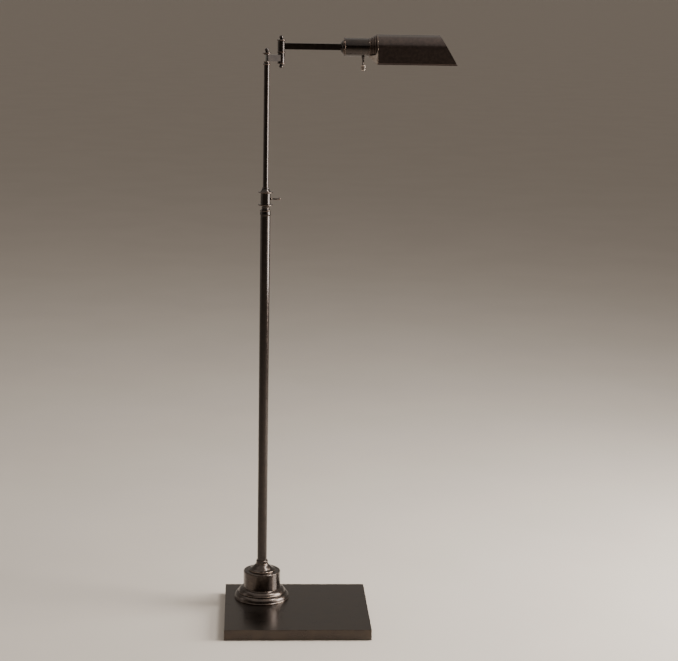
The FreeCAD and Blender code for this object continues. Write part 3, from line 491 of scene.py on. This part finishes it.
@dataclass
class Workshop:
    """Holds the frame and turns meshes into finished pieces of it."""

    frame: dict[str, Any]
    materials: dict[str, bpy.types.Material] = field(default_factory=dict)
    made: int = 0

    def __post_init__(self) -> None:
        """Notes each node's body and slot and makes the materials."""
        record = self.frame["record"]
        self.body_of = {node: body for body, nodes in record["behaviour"]["bodies"].items()
                        for node in nodes}
        self.slot_of = {part["node"]: part["material_slot"] for part in record["subparts"]}
        self.materials = {slot: finish.build() for slot, finish in FINISHES.items()}

    def place(self, node: str, way: Way = Way.UP) -> Matrix:
        """The matrix that puts a mesh in millimetres, made from its own end, on a node."""
        low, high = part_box(node)
        middle = (low + high) / 2
        turn = {Way.UP: Matrix(), Way.DOWN: Matrix.Rotation(math.pi, 4, "X"),
                Way.ALONG: Matrix.Rotation(math.pi / 2, 4, "Y")}[way]
        start = {Way.UP: (middle.x, middle.y, low.z), Way.DOWN: (middle.x, middle.y, high.z),
                 Way.ALONG: (low.x, middle.y, middle.z)}[way]
        return Matrix.Translation(start) @ turn @ Matrix.Scale(MM, 4)

    def dress_nodes(self) -> None:
        """Gives every node of the frame its slot's finish."""
        for node, obj in self.frame["nodes"].items():
            obj.data.materials.clear()
            # The skirt's pale finish here is a painted highlight.
            obj.data.materials.append(self.materials[PAINTED_HIGHLIGHT_FINISH.get(node, self.slot_of[node])])

    def piece(self, name: str, bm: bmesh.types.BMesh, node: str, where: Matrix,
              soft: float = 0.25, sharpest: float = 24, finish: Optional[str] = None) -> None:
        """Finishes a mesh and puts it in the lamp in place of a node.

        Args:
            name: The piece's name.
            bm: Its mesh in millimetres, which is freed.
            node: The node that it stands for.
            where: The matrix from the mesh to the lamp.
            soft: The width of the rounding on its sharp edges, or 0 for none.
            sharpest: The angle in degrees over which an edge is rounded.
            finish: Its finish, where it isn't the one named after the node's slot.
        """
        if soft:
            soften(bm, soft, sharpest)
        mark_rub(bm)
        bm.transform(where)
        mesh = mesh_of(name, bm)
        mesh.shade_smooth()
        obj = in_scene(name, mesh)
        slot = self.slot_of[node]
        mesh.materials.append(self.materials[finish or slot])
        level = obj.modifiers.new("flats", "WEIGHTED_NORMAL")
        level.keep_sharp = True
        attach(obj, self.body_of[node])
        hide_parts(node)
        self.made += 1
        log.info("%s stands for %s on %s", name, node, self.body_of[node])

    def turn(self, node: str, points: Sequence[Point], way: Way = Way.UP, soft: float = 0.25,
             finish: Optional[str] = None) -> None:
        """Turns a profile and puts it in place of a node."""
        self.piece(node + "_turned", turned(points), node, self.place(node, way), soft,
                   finish=finish)

    def tube(self, node: str, bore: float, radius: float, soft: float = 0.25) -> None:
        """Puts a plain tube, as long as the node is high, in place of it."""
        long = span_of(node)
        self.turn(node, [(bore, 0), (radius, 0), (radius, long), (bore, long)], soft=soft)


def middle_of(node: str) -> Vector:
    """The middle of a node's box, in metres."""
    low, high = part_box(node)
    return (low + high) / 2


def span_of(node: str, axis: str = "z") -> float:
    """How long a node's box is along an axis, in millimetres."""
    low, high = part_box(node)
    return (getattr(high, axis) - getattr(low, axis)) / MM


def cut(bm: bmesh.types.BMesh, tools: Iterable[bmesh.types.BMesh]) -> bmesh.types.BMesh:
    """Cuts tools out of a mesh and frees them all.

    Args:
        bm: The mesh.
        tools: The closed meshes to take away, in the same millimetres.

    Returns:
        The mesh that is left.
    """
    work, *others = [in_scene("cutting", mesh_of("cutting", source)) for source in (bm, *tools)]
    for other in others:
        step = work.modifiers.new("cut", "BOOLEAN")
        step.operation, step.solver, step.object = "DIFFERENCE", "EXACT", other
    graph = bpy.context.evaluated_depsgraph_get()
    left = bmesh.new()
    left.from_mesh(bpy.data.meshes.new_from_object(work.evaluated_get(graph)))
    for obj in [work, *others]:
        bpy.data.objects.remove(obj)
    bmesh.ops.remove_doubles(left, verts=left.verts, dist=0.001)
    bmesh.ops.dissolve_limit(left, angle_limit=0.002, verts=left.verts, edges=left.edges)
    return left


def rod(radius: float, start: Sequence[float], end: Sequence[float],
        steps: int = 64) -> bmesh.types.BMesh:
    """A plain closed cylinder between two points, used as a cutting tool."""
    bm = bmesh.new()
    first, last = Vector(start), Vector(end)
    along = last - first
    turn = along.to_track_quat("Z", "Y").to_matrix().to_4x4()
    bmesh.ops.create_cone(bm, cap_ends=True, segments=steps, radius1=radius, radius2=radius,
                          depth=along.length,
                          matrix=Matrix.Translation((first + last) / 2) @ turn)
    return bm


# ---- weighted base -------------------------------------------------------------------------------

@dataclass
class Base:
    """The plated cover, the spun foot on it, and the gland in its back edge."""

    shop: Workshop
    wall: float = 3.0
    cover_high: float = 23.5
    edge: float = 1.0
    foot_radius: float = 63.5
    step_radius: float = 53.5
    foot_high: float = 25.2
    drum_radius: float = 42.3
    drum_high: float = 39.3
    cap_radius: float = 30.8
    cap_high: float = 17.7
    bore: float = 6.3
    gland_hole: float = 4.2

    def build(self) -> None:
        """Builds the base."""
        self.cover()
        self.foot()
        self.gland()

    def cover(self) -> None:
        """The open box of plated steel, its outer edges softly rounded."""
        low, high = (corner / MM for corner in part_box("base_cover"))
        box = block((low.x, low.y, 0), (high.x, high.y, self.cover_high))
        outer = [edge for edge in box.edges if max(vert.co.z for vert in edge.verts) > 1]
        bmesh.ops.bevel(box, geom=outer, offset=self.edge, offset_type="OFFSET", segments=3,
                        profile=0.5, affect="EDGES", material=-1)
        inside = block((low.x + self.wall, low.y + self.wall, -5),
                       (high.x - self.wall, high.y - self.wall, self.cover_high - self.wall))
        gland_low, gland_high = (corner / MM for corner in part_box("cord_gland"))
        level = (gland_low.z + gland_high.z) / 2 - low.z
        reach = 8                    # how far the gland's cutter stands out on each side
        box = cut(box, [inside, rod(self.bore, (0, 0, 10), (0, 0, 40)),
                        rod(self.gland_hole, (0, high.y - reach, level),
                            (0, high.y + reach, level))])
        where = Matrix.Translation((0, 0, low.z * MM)) @ Matrix.Scale(MM, 4)
        self.shop.piece("base_cover_folded", box, "base_cover", where, soft=0)

    def foot(self) -> None:
        """The flange, drum, bell cap and collar."""
        bore, foot, step, drum = self.bore, self.foot_radius, self.step_radius, self.drum_radius
        high = self.foot_high
        self.shop.turn("foot_flange", [
            (bore, 0), (foot - 0.6, 0), (foot, 0.6), (foot, 2.2), (foot - 1, 3),
            (foot - 1.3, 3.5, 1.9), (step + 1.6, 13.2), (step + 0.2, 13.1), (step + 0.2, 14.3),
            (step + 1, 14.7), (step + 1, 15.8), (step + 0.2, 16.4, 1.6), (drum + 2, 24.2),
            (drum + 1.2, high), (drum - 1, high), (drum - 1, high - 3), (bore, high - 3),
        ], soft=0.3, finish="brushed_bronze")
        inner, high = drum - 2.5, self.drum_high
        self.shop.turn("foot_drum", [
            (inner, 0), (drum, 0), (drum, high - 2.2, 0.25), (drum - 2, high), (bore, high),
            (bore, high - 2.5), (inner, high - 2.5)], soft=0.8, finish="brushed_bronze")
        cap, neck, high = self.cap_radius, 14, self.cap_high
        self.shop.turn("foot_cap", [
            (bore, 0), (cap - 0.8, 0, 0.35), (cap, 1.4, 0.3), (cap - 0.9, 2.6),
            (cap - 2.4, 3.2, -0.9), (cap - 9, 8.2, -0.8), (neck, high - 1.4), (neck, high),
            (bore, high)], soft=0.5, finish="brushed_bronze")
        self.shop.turn("foot_collar", [
            (11, 0), (13.1, 0, 0.1), (13.5, 0.8), (13.5, 4.8, 0.35), (12.2, 6.4), (11, 6.4)])

    def gland(self) -> None:
        """The flanged bush in the back edge."""
        middle, back = middle_of("cord_gland"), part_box("cord_gland")[1].y
        where = (Matrix.Translation((middle.x, back, middle.z))
                 @ Matrix.Rotation(math.pi / 2, 4, "X") @ Matrix.Scale(MM, 4))
        bush = turned([(3, 0), (6.2, 0, 0.5), (6.2, 1.6), (4.1, 1.6), (4.1, 4.8), (3, 4.8)],
                      SMALL_STEPS)
        self.shop.piece("cord_gland_moulded", bush, "cord_gland", where, 0.3)


# ---- lower tube and clamp ------------------------------------------------------------------------

@dataclass
class Column:
    """The lower tube with its ferrule, and the clamp that holds the mast."""

    shop: Workshop
    tube: float = 11.0
    bore: float = 9.8
    ferrule: float = 11.9
    guide: float = 6.3
    sleeve: float = 8.0
    neck: float = 8.8
    clamp: float = 10.9
    ring: float = 15.8
    clamp_high: float = 41.0
    screw_reach: float = 25.5

    def build(self) -> None:
        """Builds the column."""
        self.shop.tube("lower_tube", self.bore, self.tube)
        self.ferrule_top()
        self.clamp_collar()
        self.thumb_screw()

    def ferrule_top(self) -> None:
        """The turned ferrule that closes the lower tube."""
        r, low, high = self.ferrule, 20, 33
        self.shop.turn("tube_ferrule", [
            (self.guide, 0), (self.bore, 0), (self.bore, low), (r - 0.7, low),
            (r - 0.4, low + 1, 0.5), (r - 0.6, high - 4), (r - 1, high - 3.2),
            (r - 0.2, high - 2.9, 0.4), (r - 0.2, high - 0.4), (r - 1.4, high),
            (self.guide, high)], soft=0.18)

    def clamp_collar(self) -> None:
        """The collar with its two rings, and the cone that caps it."""
        low, high, ring = 9.8, self.clamp_high - 3.2, self.ring
        collar = turned([
            (self.sleeve, 0), (self.neck + 1.6, 0, -0.9), (self.neck, 4.2, -0.9),
            (self.clamp + 0.4, low - 0.8), (ring, low, 0.7), (ring, low + 2.6),
            (self.clamp, low + 3.6), (self.clamp, high - 1.4), (ring, high, 0.7),
            (ring, high + 2.6), (self.clamp + 1, self.clamp_high), (self.sleeve, self.clamp_high)])
        where = self.shop.place("clamp_collar")
        level = (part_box("thumb_screw")[0].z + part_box("thumb_screw")[1].z) / 2
        level = (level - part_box("clamp_collar")[0].z) / MM
        collar = cut(collar, [rod(2.1, (5, 0, level), (20, 0, level), 32)])
        self.shop.piece("clamp_collar_turned", collar, "clamp_collar", where, 0.25)
        high = 9.4
        self.shop.turn("clamp_cap", [
            (self.guide, 0), (self.clamp + 1, 0), (self.clamp + 0.2, 1, -0.8), (7.2, high - 0.6),
            (6.9, high), (self.guide, high)])

    def thumb_screw(self) -> None:
        """The screw whose outer end is flattened to a thin paddle with a ball tip."""
        reach = self.screw_reach
        screw = turned([
            (0, 0), (2, 0), (2, 3.4), (2.9, 3.6, 0.25), (2.9, 5.4), (1.5, 6.6, -0.2), (1.5, 8.4),
            (4.2, 11.5, 0.5), (4, reach - 6.4), (1.8, reach - 5.4, DOME), (0, reach)], SMALL_STEPS)
        flatten(screw, 0, half=1.5, low=9, high=reach - 4.6)
        self.shop.piece("thumb_screw_turned", screw, "thumb_screw",
                        self.shop.place("thumb_screw", Way.ALONG), 0.15)


# ---- mast ----------------------------------------------------------------------------------------

def ball_end(base: float, rise: float, radius: float) -> list[Point]:
    """The points of a ball on a short neck, for a profile that ends on its axis."""
    neck = radius * 0.6
    return [(neck, base), (neck, base + rise, DOME), (0, base + rise + radius * 1.8)]


@dataclass
class Mast:
    """The sliding tube, its head fitting and its finial."""

    shop: Workshop
    tube: float = 6.0
    bore: float = 4.7
    pivot: float = 3.5
    ball: float = 4.6

    def build(self) -> None:
        """Builds the mast."""
        r, pivot, top = self.tube, self.pivot, span_of("mast_head")
        self.shop.tube("upper_tube", self.bore, r)
        self.shop.turn("mast_head", [
            (pivot, 0), (self.bore, 0), (self.bore, 15), (r + 0.4, 15), (r + 2, 15.4, 0.45),
            (r + 2, 17.6), (r + 0.6, 18.6, -0.3), (r + 0.9, top - 0.8), (r + 0.6, top),
            (pivot, top)], soft=0.15)
        self.shop.turn("mast_top_ring", [
            (pivot, 0), (r + 0.8, 0), (r + 0.8, 1.4), (r + 2.8, 1.9, 0.45), (r + 2.8, 4.2),
            (r + 1.2, 4.8), (pivot, 4.8)], soft=0.15)
        self.shop.turn("mast_finial", [(0, 0), (r - 2, 0)] + ball_end(0.8, 0.6, self.ball),
                       soft=0.15)


# ---- link and double swivel ----------------------------------------------------------------------

@dataclass
class Link:
    """The flat bar between the two pivots, and the lower half of the outer swivel."""

    shop: Workshop
    high: float = 14.0
    thick: float = 12.6
    pivot: float = 3.5
    barrel: float = 7.7
    barrel_high: float = 20.0
    ball: float = 4.6

    def build(self) -> None:
        """Builds the link."""
        self.bar()
        r, pivot, high = self.barrel, self.pivot, self.barrel_high
        self.shop.turn("link_barrel", [(pivot, 0), (r, 0), (r, high), (pivot, high)])
        self.shop.turn("link_base_ring", [
            (pivot, 0), (r - 1, 0), (r + 0.7, 0.7, 0.45), (r + 0.7, 2.9), (r - 0.4, 3.5),
            (pivot, 3.5)], soft=0.15)
        self.shop.turn("link_mid_ring", [
            (pivot, 0), (r - 1, 0), (r - 1, 0.6), (r + 1, 0.9, 0.5), (r + 1, 3.5), (r - 1, 3.8),
            (r - 1, 4.3), (pivot, 4.3)], soft=0.15)
        self.shop.turn("link_top_ring", [
            (pivot, 0), (r - 0.6, 0), (r + 1.7, 0.8, 0.45), (r + 1.7, 3.2), (r, 3.8),
            (pivot, 3.8)], soft=0.15)
        self.shop.turn("link_base_finial", [(0, 0), (pivot + 0.5, 0)]
                       + ball_end(0.6, 0.6, self.ball), Way.DOWN, 0.15)
        self.shop.turn("link_top_finial", [(0, 0), (pivot + 0.5, 0)]
                       + ball_end(0.3, 0.4, self.ball), soft=0.15)

    def bar(self) -> None:
        """The bar: half round at the mast, hollowed where it meets the barrel, and turned to it."""
        half, high, past = self.thick / 2, self.high, 2
        outer = middle_of("link_barrel").xy / MM
        long = outer.length
        bar = drawn([(0, half, -half), (0, -half), (long, -half), (long, half)], high)
        bmesh.ops.rotate(bar, verts=bar.verts, cent=(0, 0, 0),
                         matrix=Matrix.Rotation(math.pi / 2, 3, "X"))
        bar = cut(bar, [
            rod(self.pivot + 0.05, (0, 0, -past), (0, 0, high + past), SMALL_STEPS),
            rod(self.barrel, (long, 0, -past), (long, 0, high + past), ROUND_STEPS)])
        where = (Matrix.Translation((0, 0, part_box("link_bar")[0].z))
                 @ Matrix.Rotation(math.atan2(outer.y, outer.x), 4, "Z") @ Matrix.Scale(MM, 4))
        self.shop.piece("link_bar_milled", bar, "link_bar", where, 0.5, 40)


# ---- arm -----------------------------------------------------------------------------------------

@dataclass
class Arm:
    """The upper barrel, the hollow flat bar and the cone before the head's swivel."""

    shop: Workshop
    barrel: float = 8.0
    bore: float = 3.55
    cone: float = 15.2
    nipple: float = 4.8

    def build(self) -> None:
        """Builds the arm."""
        self.shop.tube("arm_barrel", self.bore, self.barrel, 0.4)
        low, high = (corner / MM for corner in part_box("arm_bar"))
        axis, past = middle_of("arm_barrel") / MM, 5
        bar = block((axis.x, low.y, low.z), high)
        bar = cut(bar, [rod(self.barrel, (axis.x, axis.y, low.z - past),
                            (axis.x, axis.y, high.z + past), ROUND_STEPS)])
        self.shop.piece("arm_bar_drawn", bar, "arm_bar", Matrix.Scale(MM, 4), 1.1, 60)
        long = span_of("arm_cone", "x")
        self.shop.turn("arm_cone", [
            (self.nipple, 0), (7.4, 0, 0.15), (8.4, 0.8, 0.7), (self.cone, long - 1),
            (self.cone, long), (self.nipple, long)], Way.ALONG)


# ---- head ----------------------------------------------------------------------------------------

@dataclass
class Head:
    """The socket housing with its ring and band, and the stepped gallery before the shade."""

    shop: Workshop
    ring: float = 21.3
    ring_thick: float = 2.6
    seat: float = 11.2           # the ring's bore
    housing: float = 20.0
    inner: float = 18.8
    bore: float = 4.85
    end_thick: float = 3.2
    switch_hole: float = 3.2
    band: float = 20.2
    gallery: float = 28.4

    def build(self) -> None:
        """Builds the housing."""
        self.ring_and_housing()
        inner, band, long = self.inner, self.band, span_of("housing_band", "x")
        self.shop.turn("housing_band", [
            (inner, 0), (band - 0.9, 0), (band - 0.9, 0.8), (band, 1.1), (band, long - 0.3),
            (band - 0.3, long), (inner, long)], Way.ALONG, 0.15)
        self.stepped_gallery()

    def ring_and_housing(self) -> None:
        """The flat ring round the housing's closed end, and the housing with the switch's hole."""
        seat, ring, thick = self.seat, self.ring, self.ring_thick
        self.shop.turn("housing_ring", [
            (seat, 0), (ring - 0.5, 0, 0.15), (ring, 0.5), (ring, thick - 0.5, 0.15),
            (ring - 0.5, thick), (seat, thick)], Way.ALONG, 0.3)
        bore, end, long = self.bore, self.end_thick, span_of("socket_housing", "x")
        housing = turned([
            (bore, 0), (seat, 0), (seat, thick), (self.housing, thick), (self.housing, long),
            (self.inner, long), (self.inner, end), (bore, end)])
        stem_low, stem_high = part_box("switch_stem")
        along = ((stem_low.x + stem_high.x) / 2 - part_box("socket_housing")[0].x) / MM
        housing = cut(housing, [rod(self.switch_hole, (5, 0, along), (30, 0, along), 32)])
        self.shop.piece("socket_housing_turned", housing, "socket_housing",
                        self.shop.place("socket_housing", Way.ALONG))

    def stepped_gallery(self) -> None:
        """The gallery that widens in grooved steps from the housing to the shade."""
        rim, wide, long = self.band, self.gallery, span_of("shade_gallery", "x")
        steps, lip, groove = 4, 2.2, 2.2
        grow, pitch = (wide - rim - 0.2) / steps, (long - lip) / steps
        outline: list[Point] = [(rim - 2, 0)]
        for step in range(steps):
            ridge, at = rim + 0.2 + grow * step, pitch * step
            outline += [(ridge - 0.3, at), (ridge, at + 0.3), (ridge, at + pitch * 0.45),
                        (ridge - 0.3, at + pitch * 0.5),
                        (ridge + grow - groove - 1, at + pitch * 0.75)]
        start = pitch * steps
        outline += [(wide - 0.3, start), (wide, start + 0.3), (wide, long), (wide - 1.6, long),
                    (rim + grow * 3 - groove - 1.8, start), (rim - 2, pitch * 2)]
        self.shop.turn("shade_gallery", outline, Way.ALONG, 0.15)


@dataclass
class Shade:
    """The half round shell with its hem and slanted mouth, and its rim."""

    shop: Workshop
    radius: float = 28.6
    skin: float = 1.0
    drop: float = 36.0
    top_long: float = 137.5
    foot_long: float = 176.0
    hem_high: float = 2.6
    hem_proud: float = 0.8

    def build(self) -> None:
        """Builds the shade."""
        self.shell()
        self.rim()

    def where(self) -> Matrix:
        """Turns a section drawn across and up, pulled along Y, to run towards the mouth."""
        low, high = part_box("shade")
        start = Vector((low.x, (low.y + high.y) / 2, high.z - self.radius * MM))
        turn = Matrix(((0, 1, 0, 0), (1, 0, 0, 0), (0, 0, 1, 0), (0, 0, 0, 1)))
        return Matrix.Translation(start) @ turn @ Matrix.Scale(MM, 4)

    def shell(self) -> None:
        """The shell with its rolled hem, cut at a slant in front."""
        radius, foot = self.radius, -self.drop
        inner, hem, top = radius - self.skin, radius + self.hem_proud, foot + self.hem_high
        roll = 0.35
        section = [(-inner, foot), (-hem, foot, -roll), (-hem, top, -roll), (-radius, top + 0.6),
                   (-radius, 0, -radius), (radius, 0), (radius, top + 0.6, -roll),
                   (hem, top, -roll), (hem, foot), (inner, foot), (inner, 0, inner), (-inner, 0)]
        shell = drawn(section, self.foot_long)
        rise = radius + self.drop
        run = self.foot_long - self.top_long
        bmesh.ops.bisect_plane(shell, geom=[*shell.verts, *shell.edges, *shell.faces], dist=0.0001,
                               plane_co=(0, self.foot_long, foot), plane_no=(0, rise, run),
                               clear_outer=True)
        open_edges = [edge for edge in shell.edges if edge.is_boundary]
        bmesh.ops.contextual_create(shell, geom=open_edges)
        bmesh.ops.recalc_face_normals(shell, faces=shell.faces)
        self.shop.piece("shade_shell", shell, "shade", self.where(), 0.2, 50)

    def rim(self) -> None:
        """The bead where the shell meets the gallery."""
        radius, foot = self.radius + 0.4, -self.drop + self.hem_high + 0.8
        inner = radius - 0.34
        bead = drawn([(-inner, foot), (-radius, foot), (-radius, 0, -radius), (radius, 0),
                      (radius, foot), (inner, foot), (inner, 0, inner), (-inner, 0)], 1.0)
        self.shop.piece("shade_rim_bead", bead, "shade_rim", self.where(), 0.12, 50,
                        "brushed_bronze")


# ---- bulb and switch -----------------------------------------------------------------------------

@dataclass
class Light:
    """The tubular bulb with its ribbed cap."""

    shop: Workshop
    cap: float = 13.2
    cap_long: float = 26.5
    ribs: int = 6
    rib_pitch: float = 3.5
    bulb: float = 15.0
    long: float = 112.0

    def build(self) -> None:
        """Builds the bulb."""
        cap, cap_long = self.cap, self.cap_long
        ribs: list[Point] = [(cap, 5.5 + self.rib_pitch * turn, 0.5) for turn in range(self.ribs)]
        self.shop.turn("bulb_cap", [(0, 0), (4.5, 0, 0.4), (5, 1.4), (cap - 3, 4)] + ribs
                       + [(cap, cap_long), (0, cap_long)], Way.ALONG, 0.15)
        bulb, long = self.bulb, self.long
        self.shop.turn("bulb_glass", [
            (0, 0), (cap - 0.4, 0), (cap - 0.4, 2, -1), (bulb, 12), (bulb, long - bulb, DOME),
            (0, long), (0, long - 1.2, DOME), (bulb - 1.2, long - bulb), (bulb - 1.2, 12, 1),
            (cap - 1.6, 2), (cap - 1.6, 1.2), (0, 1.2)], Way.ALONG, 0)


@dataclass
class Switch:
    """The rotary switch below the housing: bush, stem and flattened knob."""

    shop: Workshop
    bore: float = 2.16
    knob: float = 5.2
    knob_high: float = 14.0

    def build(self) -> None:
        """Builds the switch."""
        bore, high, long = self.bore, self.knob_high, span_of("switch_stem")
        self.shop.turn("switch_bush", [
            (bore, 0), (2.5, 0, -0.5), (4.6, 6.4), (4.6, 6.9), (2.9, 6.95), (2.9, 9.8),
            (bore, 9.8)], soft=0.12)
        self.shop.turn("switch_stem", [(0, 0), (1.7, 0), (2.1, long - 10), (2.1, long), (0, long)],
                       soft=0.15)
        knob = turned([
            (0, 0), (2.6, 0.7, 0.5), (4.2, 4, 0.3), (self.knob, high - 4, 0.9), (3.4, high - 0.4),
            (1.7, high), (0, high)], 64)
        flatten(knob, 1, half=2.6, low=-1, high=high - 3)
        self.shop.piece("switch_knob_turned", knob, "switch_knob",
                        self.shop.place("switch_knob"), 0.2)


# ---- studio --------------------------------------------------------------------------------------

@dataclass(frozen=True)
class Panel:
    """A soft rectangular light."""

    name: str
    at: tuple[float, float, float]       # metres
    aim: tuple[float, float, float]      # the point that it faces
    size: tuple[float, float]            # width and height in metres
    radiance: float                      # how bright its face is, where 1 shows as white

    def build(self) -> None:
        """Adds the light to the scene."""
        light = bpy.data.lights.new(self.name, "AREA")
        light.shape = "RECTANGLE"
        light.size, light.size_y = self.size
        light.energy = self.radiance * math.pi * self.size[0] * self.size[1]
        light.color = colour("fffaf4")[:3]
        obj = in_scene(self.name, light)
        obj.location = self.at
        toward = Vector(self.aim) - Vector(self.at)
        obj.rotation_euler = toward.to_track_quat("-Z", "Y").to_euler()


# A wide one above, a tall one on the right with a dim wing, a small bright one high on the right,
# and a dim one on the left.
PANELS = (
    Panel("panel_above", (0.3, -1.0, 3.4), (0.3, -1.0, 0), (6.0, 6.8), 0.55),
    Panel("panel_right", (2.19, -0.15, 1.12), (0, 0, 1.12), (1.2, 1.55), 20),
    Panel("panel_wing", (1.99, -1.34, 1.12), (0, 0, 1.12), (0.9, 1.55), 2.4),
    Panel("panel_high", (1.78, -0.4, 2.9), (0, 0, 0), (0.7, 0.9), 30),
    Panel("panel_left", (-2.5, 0.2, 1.1), (0, 0, 1.1), (0.8, 1.8), 0.8),
)


@dataclass
class Studio:
    """A plain pale floor, soft lights and the camera."""

    floor_size: float = 600.0    # metres
    lens: float = 93.15          # millimetres
    eye: tuple[float, float, float] = (-0.0424, -3.8686, 1.4433)
    yaw: float = 3.118           # degrees from +Y towards +X
    pitch: float = 11.5          # degrees down
    roll: float = -1.051         # degrees

    def build(self) -> None:
        """Sets up the studio."""
        self.floor()
        self.surround()
        for panel in PANELS:
            panel.build()
        self.camera()

    def floor(self) -> None:
        """The floor, in matte paint."""
        material, tree, shader = blank("floor_paint_matte")
        tone = blended(tree, spread(tree, mottle(tree, 400), 0.3, 0.7), colour("cdc5bb"),
                       colour("cac2b8"))
        fill(tree, shader, {"Base Color": tone, "Roughness": 0.7})
        bm = bmesh.new()
        bmesh.ops.create_grid(bm, x_segments=1, y_segments=1, size=self.floor_size / 2)
        mesh = mesh_of("floor", bm)
        mesh.materials.append(material)
        in_scene("floor", mesh)

    def surround(self) -> None:
        """A pale surround that darkens towards the camera, as an open room does."""
        world = bpy.data.worlds.new("surround")
        world.use_nodes = True
        tree = world.node_tree
        facing = add_node(tree, "SeparateXYZ", links={
            "Vector": add_node(tree, "TexCoord").outputs["Generated"]}).outputs["Y"]
        tone = blended(tree, spread(tree, facing, -0.85, -0.1), colour("46403c"), colour("938b83"))
        tree.links.new(tone, tree.nodes["Background"].inputs["Color"])
        bpy.context.scene.world = world

    def camera(self) -> None:
        """The camera, in front of the lamp and a little above it."""
        yaw, pitch, roll = (math.radians(angle) for angle in (self.yaw, self.pitch, self.roll))
        forward = Vector((math.sin(yaw) * math.cos(pitch), math.cos(yaw) * math.cos(pitch),
                          -math.sin(pitch)))
        level = Vector((math.cos(yaw), -math.sin(yaw), 0))
        upright = level.cross(forward)
        right = level * math.cos(roll) - upright * math.sin(roll)
        up = upright * math.cos(roll) + level * math.sin(roll)
        matrix = Matrix((right, up, -forward)).transposed().to_4x4()
        matrix.translation = Vector(self.eye)
        data = bpy.data.cameras.new("camera")
        data.lens, data.sensor_width, data.sensor_fit = self.lens, 36.0, "HORIZONTAL"
        data.clip_start, data.clip_end = 0.05, 1000
        obj = in_scene("camera", data)
        obj.matrix_world = matrix
        bpy.context.scene.camera = obj


def main(frame: dict[str, Any]) -> None:
    """Builds the lamp and its studio."""
    shop = Workshop(frame)
    shop.dress_nodes()
    Studio().build()
    for assembly in (Base(shop), Column(shop), Mast(shop), Link(shop), Arm(shop), Head(shop),
                     Shade(shop), Light(shop), Switch(shop)):
        assembly.build()
        log.info("%s built", type(assembly).__name__)
    log.info("%d pieces made", shop.made)


if __name__ == "__main__":
    logging.basicConfig(level=logging.INFO, format="%(message)s")
    the_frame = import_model()
    main(the_frame)
